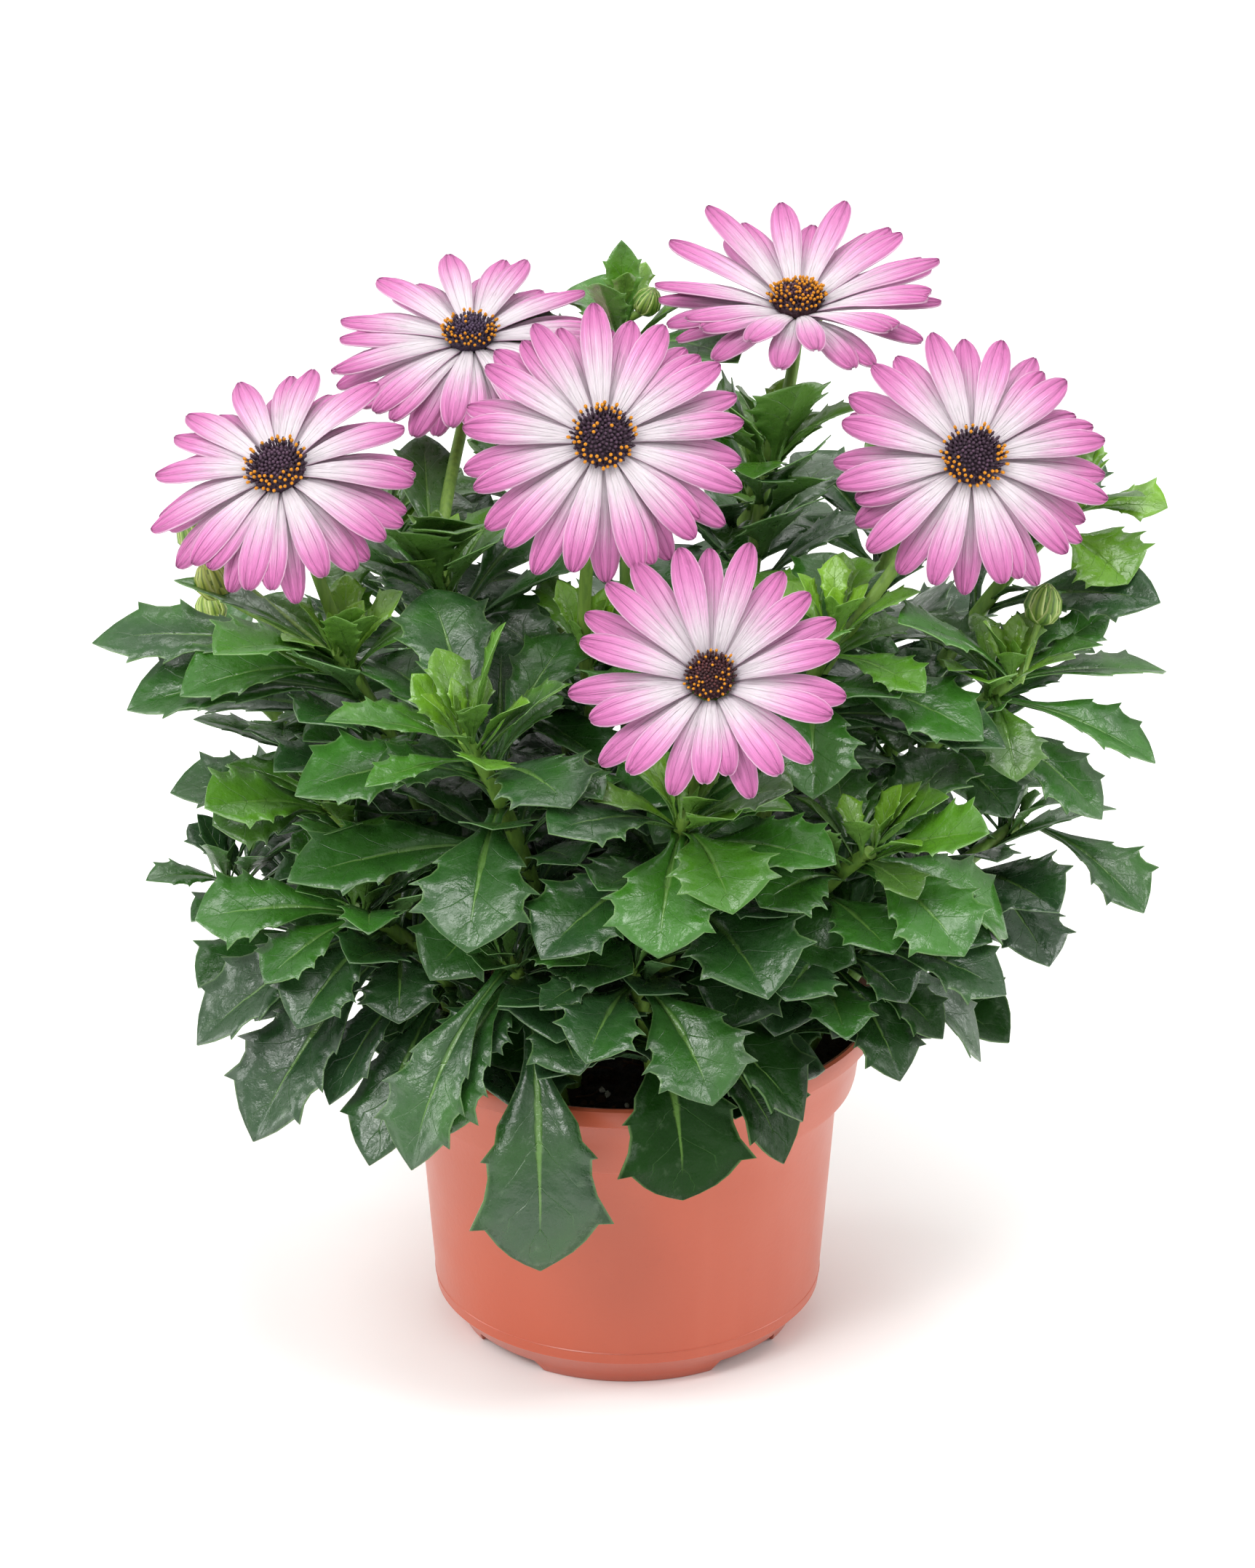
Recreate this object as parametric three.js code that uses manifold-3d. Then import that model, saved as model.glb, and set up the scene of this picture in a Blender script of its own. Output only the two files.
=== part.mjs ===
// A flowering osteospermum (African daisy) in its plastic nursery pot.
// Millimetres, +Z up. The origin is the centre of the ring that the pot stands on.
import * as THREE from 'three';
import { mergeVertices } from 'three/addons/utils/BufferGeometryUtils.js';
import Module from 'manifold-3d';

const wasm = await Module();
wasm.setup();

// ---------------------------------------------------------------- driving dimensions

const GAP = 0.3;                      // clearance between touching pieces

const POT_HEIGHT = 90;
const POT_SIDES = 28;
const LIP_RADIUS = 65;
const LIP_BAND = 5;
const COLLAR_RADIUS = 59;
const COLLAR_BOTTOM = 69;
const BODY_TOP_RADIUS = 54.6;
const SHOULDER_RADIUS = 50;
const SHOULDER_HEIGHT = 9;
const FOOT_RADIUS = 43.5;
const FOOT_WIDTH = 3;
const BASE_UNDERSIDE = 3.8;
const POT_WALL = 1.6;
const FOOT_NOTCHES = 4;
const NOTCH_WIDTH = 25;
const NOTCH_HEIGHT = 3.5;
const DRAIN_HOLES = 6;
const DRAIN_RADIUS = 4.5;
const DRAIN_CIRCLE = 30;

const SOIL_TOP = 78;
const SOIL_LUMP = 2.4;
const SOIL_INSET = 0.8;               // clear of the wall's flat sides
const STEM_DEPTH = 22;                // how far a stem reaches into the soil
const STEM_RADIUS = 2.5;
const STEM_SIDES = 5;
const HOLE_RADIUS = 3.6;              // of the hole in the soil that a stem stands in
const LEVELS = [1, 0.93, 0.85, 0.74, 0.6, 0.46, 0.32];   // of the whorls, as shares of a stem
const RING_STEP = 0.24;               // a bare stem has no rings closer than this share
const LEVEL_HEIGHT = 3.4;             // along the stem, where leaves grow from it
const PEDUNCLE_RADIUS = 1.6;
const STALK_RADIUS = 1.1;

const BLADE_THICKNESS = 1.5;          // at the midrib, by the petiole
const PETIOLE = 0.27;                 // share of a leaf's length before its blade widens
const BLADE_FOLD = 0.16;              // how far the margins lift, as a share of their reach
const CLEARANCE = 0.5;                // kept between the leaves of different shoots
const SLOT_TRIES = 3;                 // faces of the stem on which a leaf is tried

const PETAL_LENGTH = 29;
const PETAL_WIDTH = 8.8;
const PETAL_THICKNESS = 1.1;
const PETAL_ROOT = 5.6;               // radius at which the petals leave their ring
const DISC_RADIUS = 7.4;

const BUD_LENGTH = 11;
const BUD_RADIUS = 4.9;

// ---------------------------------------------------------------- the plant's layout

// A shoot: where its stem leaves the soil, where its tip is, and its large leaves. A leaf is
// [share of the stem's height, heading, rise of its chord, length, width, arch], in degrees
// and millimetres. Heading 0 is +X and 90 is +Y. "filler" counts the leaves set by rule.
const SHOOTS = [
  { name: 'shoot_front_left_high', base: [-14, -27], tip: [-40, -55, 188], filler: 2, leaves: [
    [0.85, 300, 10, 41, 24, 28], [0.65, 200, 0, 59, 24, 14], [0.70, 260, -25, 48, 28, 28],
    [1.00, 205, 20, 38, 12, 14], [1.00, 170, 60, 26, 11, 8], [1.00, 355, 75, 32, 10, 8],
    [0.90, 195, 0, 48, 24, 25], [0.90, 220, 5, 34, 9, 14], [1.00, 110, 30, 45, 24, 20],
    [1.00, 125, 5, 56, 25, 25], [0.90, 350, 45, 30, 12, 12], [0.85, 60, 20, 51, 17, 15],
    [0.75, 90, 40, 63, 27, 20], [0.46, 325, -5, 48, 24, 24], [0.46, 245, -15, 46, 24, 26] ] },
  { name: 'shoot_front_left_low', base: [-33, -24], tip: [-68, -48, 138], filler: 1, leaves: [
    [0.70, 215, -45, 63, 27, 18], [0.80, 195, -30, 55, 24, 18], [1.00, 185, 0, 40, 24, 16],
    [0.95, 215, -20, 30, 19, 20], [0.85, 230, -25, 36, 20, 22], [0.45, 245, -35, 54, 19, 22],
    [0.75, 270, -20, 28, 19, 25], [0.50, 230, -35, 45, 15, 18], [0.50, 235, -5, 36, 15, 20],
    [1.00, 210, 30, 32, 15, 14], [0.95, 305, 40, 30, 16, 15], [1.00, 90, 10, 24, 11, 12] ] },
  { name: 'shoot_front', base: [8, -34], tip: [14, -68, 173], filler: 2, leaves: [
    [0.95, 290, -15, 33, 25, 28], [0.90, 260, -25, 38, 26, 30], [0.95, 220, 15, 42, 22, 20],
    [0.70, 225, -10, 48, 24, 24], [0.65, 300, -10, 46, 30, 28], [0.95, 325, 30, 35, 17, 16],
    [0.95, 335, 5, 41, 20, 18], [0.46, 200, 5, 46, 24, 24], [0.46, 345, 0, 48, 24, 24],
    [0.32, 100, 30, 46, 24, 22] ] },
  { name: 'shoot_front_right', base: [27, -20], tip: [60, -55, 157], filler: 2, leaves: [
    [0.90, 315, -20, 38, 25, 24], [0.90, 15, -35, 48, 26, 20], [1.00, 325, 30, 36, 19, 14],
    [0.85, 235, 10, 37, 21, 20], [0.65, 240, -20, 42, 24, 24], [1.00, 55, 10, 45, 22, 16],
    [1.00, 305, -5, 22, 12, 18], [0.46, 285, -10, 44, 24, 24], [0.46, 180, 5, 46, 24, 24],
    [0.32, 30, 20, 44, 22, 20] ] },
  { name: 'shoot_right', base: [36, 1], tip: [98, -15, 187], filler: 1, buds: [[104, -7, 202, 4.8]],
    leaves: [
    [1.00, 30, -10, 46, 16, 10], [0.95, 350, -20, 43, 18, 16], [0.90, 335, -30, 42, 22, 20],
    [1.00, 35, 20, 38, 12, 10], [1.00, 215, 35, 45, 20, 16], [0.95, 285, -35, 26, 16, 24],
    [0.80, 325, -30, 26, 19, 22], [1.00, 40, 5, 32, 8, 10], [0.60, 250, 0, 44, 22, 22] ] },
  { name: 'shoot_middle_right', base: [23, -10], tip: [52, -28, 205], filler: 2, leaves: [
    [0.80, 270, -25, 40, 22, 25], [0.85, 335, -10, 46, 23, 20], [0.75, 340, 0, 54, 20, 18],
    [0.95, 315, 0, 32, 13, 16], [1.00, 80, 20, 28, 13, 10], [0.60, 215, 0, 48, 24, 24],
    [0.46, 300, 0, 50, 24, 24] ] },
  { name: 'shoot_left', base: [-37, -5], tip: [-73, -25, 198], filler: 1,
    buds: [[-103, -12, 211, 4.8], [-109, 8, 215, 4.4]], leaves: [
    [0.93, 168, 2, 66, 19, 22], [0.87, 182, -3, 59, 25, 22], [0.84, 157, -4, 61, 24, 20],
    [0.95, 190, -15, 43, 24, 25], [1.00, 225, 20, 43, 20, 18], [1.00, 230, 45, 38, 19, 12],
    [1.00, 175, 20, 61, 16, 15], [1.00, 85, 10, 40, 14, 12], [0.85, 235, 25, 38, 18, 20],
    [0.75, 220, 20, 45, 20, 18], [0.70, 150, -15, 49, 18, 15], [1.00, 255, 55, 26, 9, 8] ] },
  { name: 'shoot_left_low', base: [-41, -15], tip: [-76, -22, 155], filler: 2, leaves: [
    [1.00, 215, 10, 32, 21, 16], [0.95, 215, 5, 38, 21, 16], [1.00, 245, 55, 20, 10, 10] ] },
  { name: 'shoot_top', base: [1, 27], tip: [-1, 60, 255], filler: 2, buds: [[5, 57, 259, 3.6]],
    leaves: [
    [1.00, 250, 55, 30, 11, 6], [0.95, 305, 20, 49, 20, 18] ] },
  { name: 'shoot_middle_back', base: [23, 20], tip: [37, 35, 231], filler: 3, leaves: [
    [0.95, 300, 65, 31, 21, 10], [0.95, 235, 60, 33, 20, 12], [0.90, 300, 45, 32, 18, 14],
    [0.85, 290, 45, 30, 22, 18] ] },
  { name: 'shoot_right_back', base: [43, 16], tip: [115, 22, 219], filler: 3, leaves: [
    [0.95, 320, -20, 24, 24, 18], [1.00, 355, 35, 21, 17, 12], [0.95, 340, 10, 23, 14, 14] ] },
  { name: 'shoot_middle_left', base: [-21, 11], tip: [-49, 5, 208], filler: 3, leaves: [
    [0.95, 245, 55, 34, 20, 16], [0.95, 290, 40, 38, 18, 14], [0.95, 280, 20, 41, 22, 24],
    [1.00, 95, 25, 44, 16, 10] ] },
  { name: 'shoot_rim_left', base: [-17, -42], tip: [-30, -62, 131], filler: 0, leaves: [
    [0.60, 275, -65, 70, 31, 36], [0.80, 230, -45, 47, 23, 24], [0.90, 225, -65, 57, 22, 26],
    [0.60, 290, -10, 31, 20, 25], [1.00, 225, -15, 27, 21, 24], [0.80, 340, 5, 38, 20, 20],
    [0.46, 70, 35, 44, 22, 20] ] },
  { name: 'shoot_rim_front', base: [8, -45], tip: [0, -70, 133], filler: 0, leaves: [
    [0.55, 290, -60, 51, 31, 36], [0.70, 340, -20, 61, 30, 24], [0.90, 305, -40, 39, 27, 28],
    [0.65, 335, -45, 55, 24, 32], [1.00, 215, -10, 25, 11, 18], [0.85, 250, -10, 34, 20, 24],
    [0.80, 150, 20, 40, 20, 20], [0.50, 40, 35, 46, 22, 20] ] },
  { name: 'shoot_rim_right', base: [31, -34], tip: [54, -52, 130], filler: 1, leaves: [
    [0.90, 310, -40, 36, 20, 28], [0.95, 10, -40, 53, 21, 26], [0.95, 325, -25, 21, 18, 26],
    [0.80, 240, 0, 42, 22, 22], [0.70, 150, 20, 42, 22, 22], [0.46, 60, 25, 44, 22, 20] ] },
  { name: 'shoot_middle', base: [-4, 3], tip: [-11, -10, 192], filler: 4, leaves: [
    [0.46, 290, 0, 50, 25, 24], [0.46, 215, 5, 50, 25, 24], [0.32, 260, 15, 46, 24, 24] ] },
  { name: 'shoot_back_1', base: [-28, 20], tip: [-66, 52, 200], filler: 5, leaves: [] },
  { name: 'shoot_back_2', base: [-11, 38], tip: [-24, 70, 205], filler: 5, leaves: [] },
  { name: 'shoot_back_3', base: [13, 36], tip: [33, 62, 208], filler: 5, buds: [[41, 73, 222, 4.6]],
    leaves: [] },
  { name: 'shoot_back_4', base: [33, 28], tip: [76, 60, 203], filler: 6, leaves: [] },
  { name: 'shoot_side_right', base: [45, -10], tip: [102, 20, 130], filler: 5, leaves: [] },
  { name: 'shoot_side_left', base: [-44, 12], tip: [-98, 36, 160], filler: 5,
    buds: [[-108, 50, 176, 4.2]], leaves: [] },
  { name: 'shoot_back_low_1', base: [-32, 32], tip: [-62, 70, 143], filler: 5, leaves: [] },
  { name: 'shoot_back_low_2', base: [1, 46], tip: [4, 60, 138], filler: 5, leaves: [] },
  { name: 'shoot_back_low_3', base: [24, 39], tip: [60, 59, 140], filler: 5, leaves: [] },
  { name: 'shoot_low_left', base: [-46, -2], tip: [-104, 2, 122], filler: 5, leaves: [] },
];

// A bloom: the centre of its disc, where it faces, its petals and how they arch.
const BLOOMS = [
  { name: 'bloom_left', from: 'shoot_left', at: 0.8, centre: [-86, -22, 246], turn: -112, rise: 58,
    petals: 24, reach: 1.0, lift: 6, droop: 28, disc: 1 },
  { name: 'bloom_back_left', from: 'shoot_middle_left', at: 0.9, centre: [-40, 48, 254], turn: -97,
    rise: 74, petals: 22, reach: 1.06, lift: 8, droop: 19, disc: 0.88 },
  { name: 'bloom_middle', from: 'shoot_middle', at: 0.95, centre: [-6, -37, 260], turn: -86, rise: 42,
    petals: 26, reach: 1.04, lift: 8, droop: 22, disc: 1.02 },
  { name: 'bloom_back_right', from: 'shoot_middle_back', at: 0.85, centre: [43, 43, 265], turn: -90,
    rise: 79, petals: 24, reach: 1.09, lift: 26, droop: -2, disc: 0.9 },
  { name: 'bloom_right', from: 'shoot_middle_right', at: 0.7, centre: [85, -20, 248], turn: -80,
    rise: 42, petals: 24, reach: 1.0, lift: 8, droop: 20, disc: 1 },
  { name: 'bloom_front', from: 'shoot_front', at: 0.85, centre: [20, -76, 214], turn: -92, rise: 46,
    petals: 22, reach: 0.98, lift: 26, droop: -2, disc: 0.8 },
];

const POT_COLOUR = 0xc8694f;
const SOIL_COLOUR = 0x1f1813;
const LEAF_COLOUR = 0x2f5a2b;
const PETAL_COLOUR = 0xdd86c4;
const DISC_COLOUR = 0x34222f;

// ---------------------------------------------------------------- small helpers

const UP = new THREE.Vector3(0, 0, 1);
const radians = THREE.MathUtils.degToRad;
const mix = THREE.MathUtils.lerp;

// A repeatable random number from 0 to 1 for a few whole numbers.
function chance(...keys) {
  let hash = 2166136261;
  for (const key of keys) {
    hash = Math.imul(hash ^ (key + 1), 16777619);
    hash ^= hash >>> 13;
    hash = Math.imul(hash, 0x5bd1e995);
    hash ^= hash >>> 15;
  }
  return (hash >>> 0) / 4294967296;
}

function spread(amount, ...keys) {
  return amount * (2 * chance(...keys) - 1);
}

// ---------------------------------------------------------------- solids

function meshGeometry(points, faces) {
  const geometry = new THREE.BufferGeometry();
  const positions = points.flatMap((point) => [point.x, point.y, point.z]);
  geometry.setAttribute('position', new THREE.Float32BufferAttribute(positions, 3));
  geometry.setIndex(faces.flat());
  return geometry;
}

function solid(geometry) {
  const bare = geometry.clone();
  bare.deleteAttribute('normal');
  bare.deleteAttribute('uv');
  const merged = mergeVertices(bare, 1e-4);
  const vertProperties = new Float32Array(merged.attributes.position.array);
  const triVerts = new Uint32Array(merged.index.array);
  return new wasm.Manifold(new wasm.Mesh({ numProp: 3, vertProperties, triVerts }));
}

function geometryOf(body) {
  const mesh = body.getMesh();
  const geometry = new THREE.BufferGeometry();
  geometry.setAttribute('position', new THREE.BufferAttribute(mesh.vertProperties, 3));
  geometry.setIndex(new THREE.BufferAttribute(mesh.triVerts, 1));
  return geometry;
}

function joined(bodies) {
  return bodies.reduce((whole, body) => whole.add(body));
}

// A closed body of rings around an axis. ring(j, i) gives [radius, height] of point i on ring
// j; the first and last rings close onto the axis at heights below and above.
function ringedSolid(rings, sides, below, above, ring) {
  const points = [new THREE.Vector3(0, 0, below), new THREE.Vector3(0, 0, above)];
  const faces = [];
  const at = (j, i) => 2 + j * sides + (i % sides);
  for (let j = 0; j < rings; j += 1) {
    for (let i = 0; i < sides; i += 1) {
      const angle = 2 * Math.PI * i / sides;
      const [radius, height] = ring(j, i);
      points.push(new THREE.Vector3(radius * Math.cos(angle), radius * Math.sin(angle), height));
    }
  }
  for (let i = 0; i < sides; i += 1) {
    faces.push([0, at(0, i + 1), at(0, i)]);
    faces.push([1, at(rings - 1, i), at(rings - 1, i + 1)]);
    for (let j = 0; j + 1 < rings; j += 1) {
      faces.push([at(j, i), at(j, i + 1), at(j + 1, i + 1)]);
      faces.push([at(j, i), at(j + 1, i + 1), at(j + 1, i)]);
    }
  }
  return meshGeometry(points, faces);
}

function ringShape(radius, sides) {
  const corners = [];
  for (let i = 0; i < sides; i += 1) {
    const angle = 2 * Math.PI * i / sides;
    corners.push(new THREE.Vector2(radius * Math.cos(angle), radius * Math.sin(angle)));
  }
  return new THREE.Shape(corners);
}

function tube(points, radius, sides, steps) {
  const extrudePath = new THREE.CatmullRomCurve3(points);
  return new THREE.ExtrudeGeometry(ringShape(radius, sides), { steps, extrudePath });
}

// ---------------------------------------------------------------- the pot and its soil

function potInside(height) {
  const slope = (BODY_TOP_RADIUS - SHOULDER_RADIUS) / (COLLAR_BOTTOM - SHOULDER_HEIGHT);
  if (height < COLLAR_BOTTOM) {
    return SHOULDER_RADIUS + slope * (height - SHOULDER_HEIGHT) - POT_WALL;
  }
  const flare = (LIP_RADIUS - 3.8 - COLLAR_RADIUS) / (POT_HEIGHT - LIP_BAND - COLLAR_BOTTOM);
  return COLLAR_RADIUS + flare * (height - COLLAR_BOTTOM) - POT_WALL;
}

function potGeometry() {
  const lipUnder = POT_HEIGHT - LIP_BAND - 0.6;
  const floor = BASE_UNDERSIDE + POT_WALL;
  const profile = [
    [0, BASE_UNDERSIDE], [FOOT_RADIUS - FOOT_WIDTH, BASE_UNDERSIDE], [FOOT_RADIUS - FOOT_WIDTH, 0],
    [FOOT_RADIUS, 0], [FOOT_RADIUS + 1.5, 3], [SHOULDER_RADIUS, SHOULDER_HEIGHT],
    [BODY_TOP_RADIUS, COLLAR_BOTTOM - 0.6], [COLLAR_RADIUS, COLLAR_BOTTOM],
    [LIP_RADIUS - 3.8, lipUnder], [LIP_RADIUS, lipUnder + 0.6], [LIP_RADIUS, POT_HEIGHT - 1],
    [LIP_RADIUS - 1.4, POT_HEIGHT], [LIP_RADIUS - 2.4, POT_HEIGHT - 1],
    [potInside(lipUnder - 0.6), lipUnder - 0.6], [COLLAR_RADIUS - POT_WALL, COLLAR_BOTTOM + 1.4],
    [BODY_TOP_RADIUS - POT_WALL, COLLAR_BOTTOM + 0.8],
    [SHOULDER_RADIUS - POT_WALL, SHOULDER_HEIGHT + 1], [FOOT_RADIUS + 0.5, floor], [0, floor],
  ];
  const outline = profile.map(([radius, height]) => new THREE.Vector2(radius, height));
  const shell = new THREE.LatheGeometry(outline, POT_SIDES);
  shell.rotateX(Math.PI / 2);
  let body = solid(shell);
  for (let i = 0; i < FOOT_NOTCHES; i += 1) {
    body = body.subtract(solid(notchGeometry(Math.PI * (0.25 + i / 2))));
  }
  for (let i = 0; i < DRAIN_HOLES; i += 1) {
    const angle = 2 * Math.PI * i / DRAIN_HOLES;
    const drain = new THREE.CylinderGeometry(DRAIN_RADIUS, DRAIN_RADIUS, 3 * POT_WALL, 8);
    drain.rotateX(Math.PI / 2);
    drain.translate(DRAIN_CIRCLE * Math.cos(angle), DRAIN_CIRCLE * Math.sin(angle), floor - 1);
    body = body.subtract(solid(drain));
  }
  return geometryOf(body);
}

// The gap between two feet: a low trapezium, pushed through the foot ring from outside.
function notchGeometry(angle) {
  const half = NOTCH_WIDTH / 2;
  const shape = new THREE.Shape([
    new THREE.Vector2(-half, -1), new THREE.Vector2(half, -1),
    new THREE.Vector2(half - 2.5, NOTCH_HEIGHT), new THREE.Vector2(2.5 - half, NOTCH_HEIGHT),
  ]);
  const geometry = new THREE.ExtrudeGeometry(shape, { depth: 20, bevelEnabled: false });
  geometry.rotateX(Math.PI / 2);
  geometry.rotateZ(Math.PI);
  geometry.translate(0, FOOT_RADIUS - 13, 0);
  geometry.rotateZ(angle - Math.PI / 2);
  return geometry;
}

// The root ball's top is lumpy and sinks a little towards the wall.
function soilGeometry() {
  const sides = 20;
  const bottom = BASE_UNDERSIDE + POT_WALL + GAP;
  const inset = POT_WALL + SOIL_INSET;
  const outer = [
    [FOOT_RADIUS - 0.4, bottom], [SHOULDER_RADIUS - inset, SHOULDER_HEIGHT + 2],
    [BODY_TOP_RADIUS - inset, COLLAR_BOTTOM + 1.2], [COLLAR_RADIUS - inset, COLLAR_BOTTOM + 2],
    [potInside(SOIL_TOP - 2) - SOIL_INSET, SOIL_TOP - 2],
  ];
  const inner = [46, 35, 24, 12];
  const ring = (j, i) => {
    if (j < outer.length) {
      return outer[j];
    }
    const lump = spread(SOIL_LUMP / 2, 7, j, i);
    return [inner[j - outer.length] + spread(1.2, 8, j, i), SOIL_TOP + lump];
  };
  const rings = outer.length + inner.length;
  let body = solid(ringedSolid(rings, sides, bottom, SOIL_TOP + 0.6, ring));
  for (const { base: [x, y] } of SHOOTS) {
    const hole = new THREE.CylinderGeometry(HOLE_RADIUS, HOLE_RADIUS, 2 * STEM_DEPTH + 6, STEM_SIDES);
    hole.rotateX(Math.PI / 2).rotateZ(Math.PI / 2).translate(x, y, SOIL_TOP + 2);
    body = body.subtract(solid(hole));
  }
  return geometryOf(body);
}

// ---------------------------------------------------------------- stems

// A stem rises steeply from the soil and then leans out to its tip.
function stemPoint(shoot, share) {
  const [x, y] = shoot.base;
  const base = new THREE.Vector3(x, y, SOIL_TOP);
  const tip = new THREE.Vector3(...shoot.tip);
  const bend = new THREE.Vector3(mix(x, tip.x, 0.3), mix(y, tip.y, 0.3), mix(SOIL_TOP, tip.z, 0.66));
  return new THREE.QuadraticBezierCurve3(base, bend, tip).getPoint(share);
}

// The frame of a stem's cross-section: its centre and two axes square to the stem.
function stemSection(shoot, share) {
  const centre = stemPoint(shoot, share);
  const along = stemPoint(shoot, share + 0.01).sub(stemPoint(shoot, share - 0.01)).normalize();
  const across = new THREE.Vector3(1, 0, 0);
  across.addScaledVector(along, -across.dot(along)).normalize();
  return { centre, across, upright: new THREE.Vector3().crossVectors(along, across) };
}

function stemCorner(shoot, share, k, swell = 0) {
  const { centre, across, upright } = stemSection(shoot, share);
  const angle = 2 * Math.PI * k / STEM_SIDES;
  const radius = STEM_RADIUS + swell;
  return centre.addScaledVector(across, radius * Math.cos(angle))
    .addScaledVector(upright, radius * Math.sin(angle));
}

// The two ends of a whorl's stretch of stem, as shares of its length.
function levelEnds(shoot, level) {
  const length = stemPoint(shoot, 0).distanceTo(stemPoint(shoot, 1));
  const top = Math.min(1, LEVELS[level] + LEVEL_HEIGHT / length / 2);
  return [top - LEVEL_HEIGHT / length, top];
}

// A short stem has no room for the second whorl under the top one.
function hasRoom(shoot, level) {
  return level !== 1 || levelEnds(shoot, 1)[1] + 0.01 < levelEnds(shoot, 0)[0];
}

// ---------------------------------------------------------------- leaves

// One side of a leaf, from its petiole to its last tooth: [share of length, share of half width].
// A narrow winged petiole widens to a broad blade with pointed teeth.
function leafSide(teeth) {
  const width = (share) => Math.sin(Math.PI * share ** 1.8);
  const side = [[PETIOLE, 0.28]];
  for (let k = 0; k < teeth; k += 1) {
    const share = 0.47 + 0.45 * (k + 0.5) / teeth;
    side.push([share, 1.06 * width(share)]);
    side.push([share + 0.03, 0.78 * width(share + 0.03)]);
  }
  return side;
}

// Where a leaf of so many teeth a side has its ribs, as shares of its length.
const RIBS = { 1: [PETIOLE], 2: [PETIOLE, 0.64], 3: [PETIOLE, 0.57] };

// The place on a leaf at a share of its length, reach out from its midrib and height over it.
// Its midrib is an arc in the upright plane of its heading.
function leafPoint(leaf, share, reach, height) {
  const [, headingDegrees, riseDegrees, length, width, archDegrees] = leaf.form;
  const heading = radians(headingDegrees);
  const arch = radians(archDegrees);
  const start = radians(riseDegrees) + arch;
  const slope = start - 2 * arch * share;
  const out = length * (Math.sin(start) - Math.sin(slope)) / (2 * arch);
  const rise = length * (Math.cos(slope) - Math.cos(start)) / (2 * arch);
  const ahead = new THREE.Vector3(Math.cos(heading), Math.sin(heading), 0);
  const across = new THREE.Vector3(-Math.sin(heading), Math.cos(heading), 0);
  const normal = ahead.clone().multiplyScalar(-Math.sin(slope)).addScaledVector(UP, Math.cos(slope));
  const roll = radians(leaf.roll);
  const side = across.clone().multiplyScalar(Math.cos(roll)).addScaledVector(normal, Math.sin(roll));
  const face = normal.multiplyScalar(Math.cos(roll)).addScaledVector(across, -Math.sin(roll));
  const half = reach * width / 2;
  return leaf.base.clone()
    .addScaledVector(ahead, out).addScaledVector(UP, rise)
    .addScaledVector(side, half)
    .addScaledVector(face, height + BLADE_FOLD * Math.abs(half));
}

// A leaf is a lens: upper and lower ribs over one shared outline. "swell" thickens it all
// round, for testing that it is clear of its neighbours.
function leafBlade(leaf, swell = 0) {
  const grown = 1 + 2 * swell / leaf.form[4];
  const half = (share) => BLADE_THICKNESS * (1 - 0.45 * share) / 2 + swell;
  const side = (hand) => leafSide(leaf.teeth).map(([share, reach]) =>
    ({ share, point: leafPoint(leaf, share, hand * reach * grown, 0) }));
  return {
    ribs: RIBS[leaf.teeth].map((share) => ({
      share, top: leafPoint(leaf, share, 0, half(share)), under: leafPoint(leaf, share, 0, -half(share)),
    })),
    left: side(1), right: side(-1), tip: leafPoint(leaf, 1 + swell / leaf.form[3], 0, 0),
  };
}

// Grows a blade out of a four-cornered face of a surface, in place of that face. The corners
// are the numbers of its points: upper left, upper right, lower right, lower left.
function growBlade(surface, [upLeft, upRight, lowRight, lowLeft], blade) {
  const add = (point) => surface.points.push(point) - 1;
  const put = (...face) => surface.faces.push(face);
  const tops = blade.ribs.map(({ top }) => add(top));
  const unders = blade.ribs.map(({ under }) => add(under));
  const tip = add(blade.tip);
  const left = blade.left.map(({ point }) => add(point));
  const right = blade.right.map(({ point }) => add(point));
  put(upLeft, upRight, tops[0]);
  put(upLeft, tops[0], left[0]);
  put(upRight, right[0], tops[0]);
  put(upLeft, left[0], lowLeft);
  put(right[0], upRight, lowRight);
  put(lowLeft, left[0], unders[0]);
  put(lowRight, unders[0], right[0]);
  put(lowLeft, unders[0], lowRight);
  for (const [side, shares, isLeft] of [[left, blade.left, true], [right, blade.right, false]]) {
    for (const [ribs, isTop] of [[tops, true], [unders, false]]) {
      const turn = (a, b, c) => (isLeft === isTop ? put(a, c, b) : put(a, b, c));
      let rib = 0;
      for (let i = 0; i < side.length; i += 1) {
        const isLast = i + 1 === side.length;
        const next = isLast ? tip : side[i + 1];
        turn(ribs[rib], side[i], next);
        while (rib + 1 < ribs.length && (isLast || blade.ribs[rib + 1].share <= shares[i + 1].share)) {
          turn(ribs[rib], next, ribs[rib + 1]);
          rib += 1;
        }
      }
    }
  }
}

// The root of a leaf: the corners of its face on the stem.
function rootCorners(shoot, { level, facet }) {
  const [low, high] = levelEnds(shoot, level);
  return [[high, 1], [high, 0], [low, 0], [low, 1]]
    .map(([share, next]) => stemCorner(shoot, share, facet + next));
}

// A leaf by itself, closed at its root. "from" moves the root towards the petiole's end.
function leafGeometry(leaf, swell = 0, from = 0) {
  const blade = leafBlade(leaf, swell);
  const ends = [blade.left[0].point, blade.right[0].point, blade.right[0].point, blade.left[0].point];
  const points = leaf.root.map((corner, k) => corner.clone().lerp(ends[k], from));
  const surface = { points, faces: [[0, 2, 1], [0, 3, 2]] };
  growBlade(surface, [0, 1, 2, 3], blade);
  return meshGeometry(surface.points, surface.faces);
}

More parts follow.
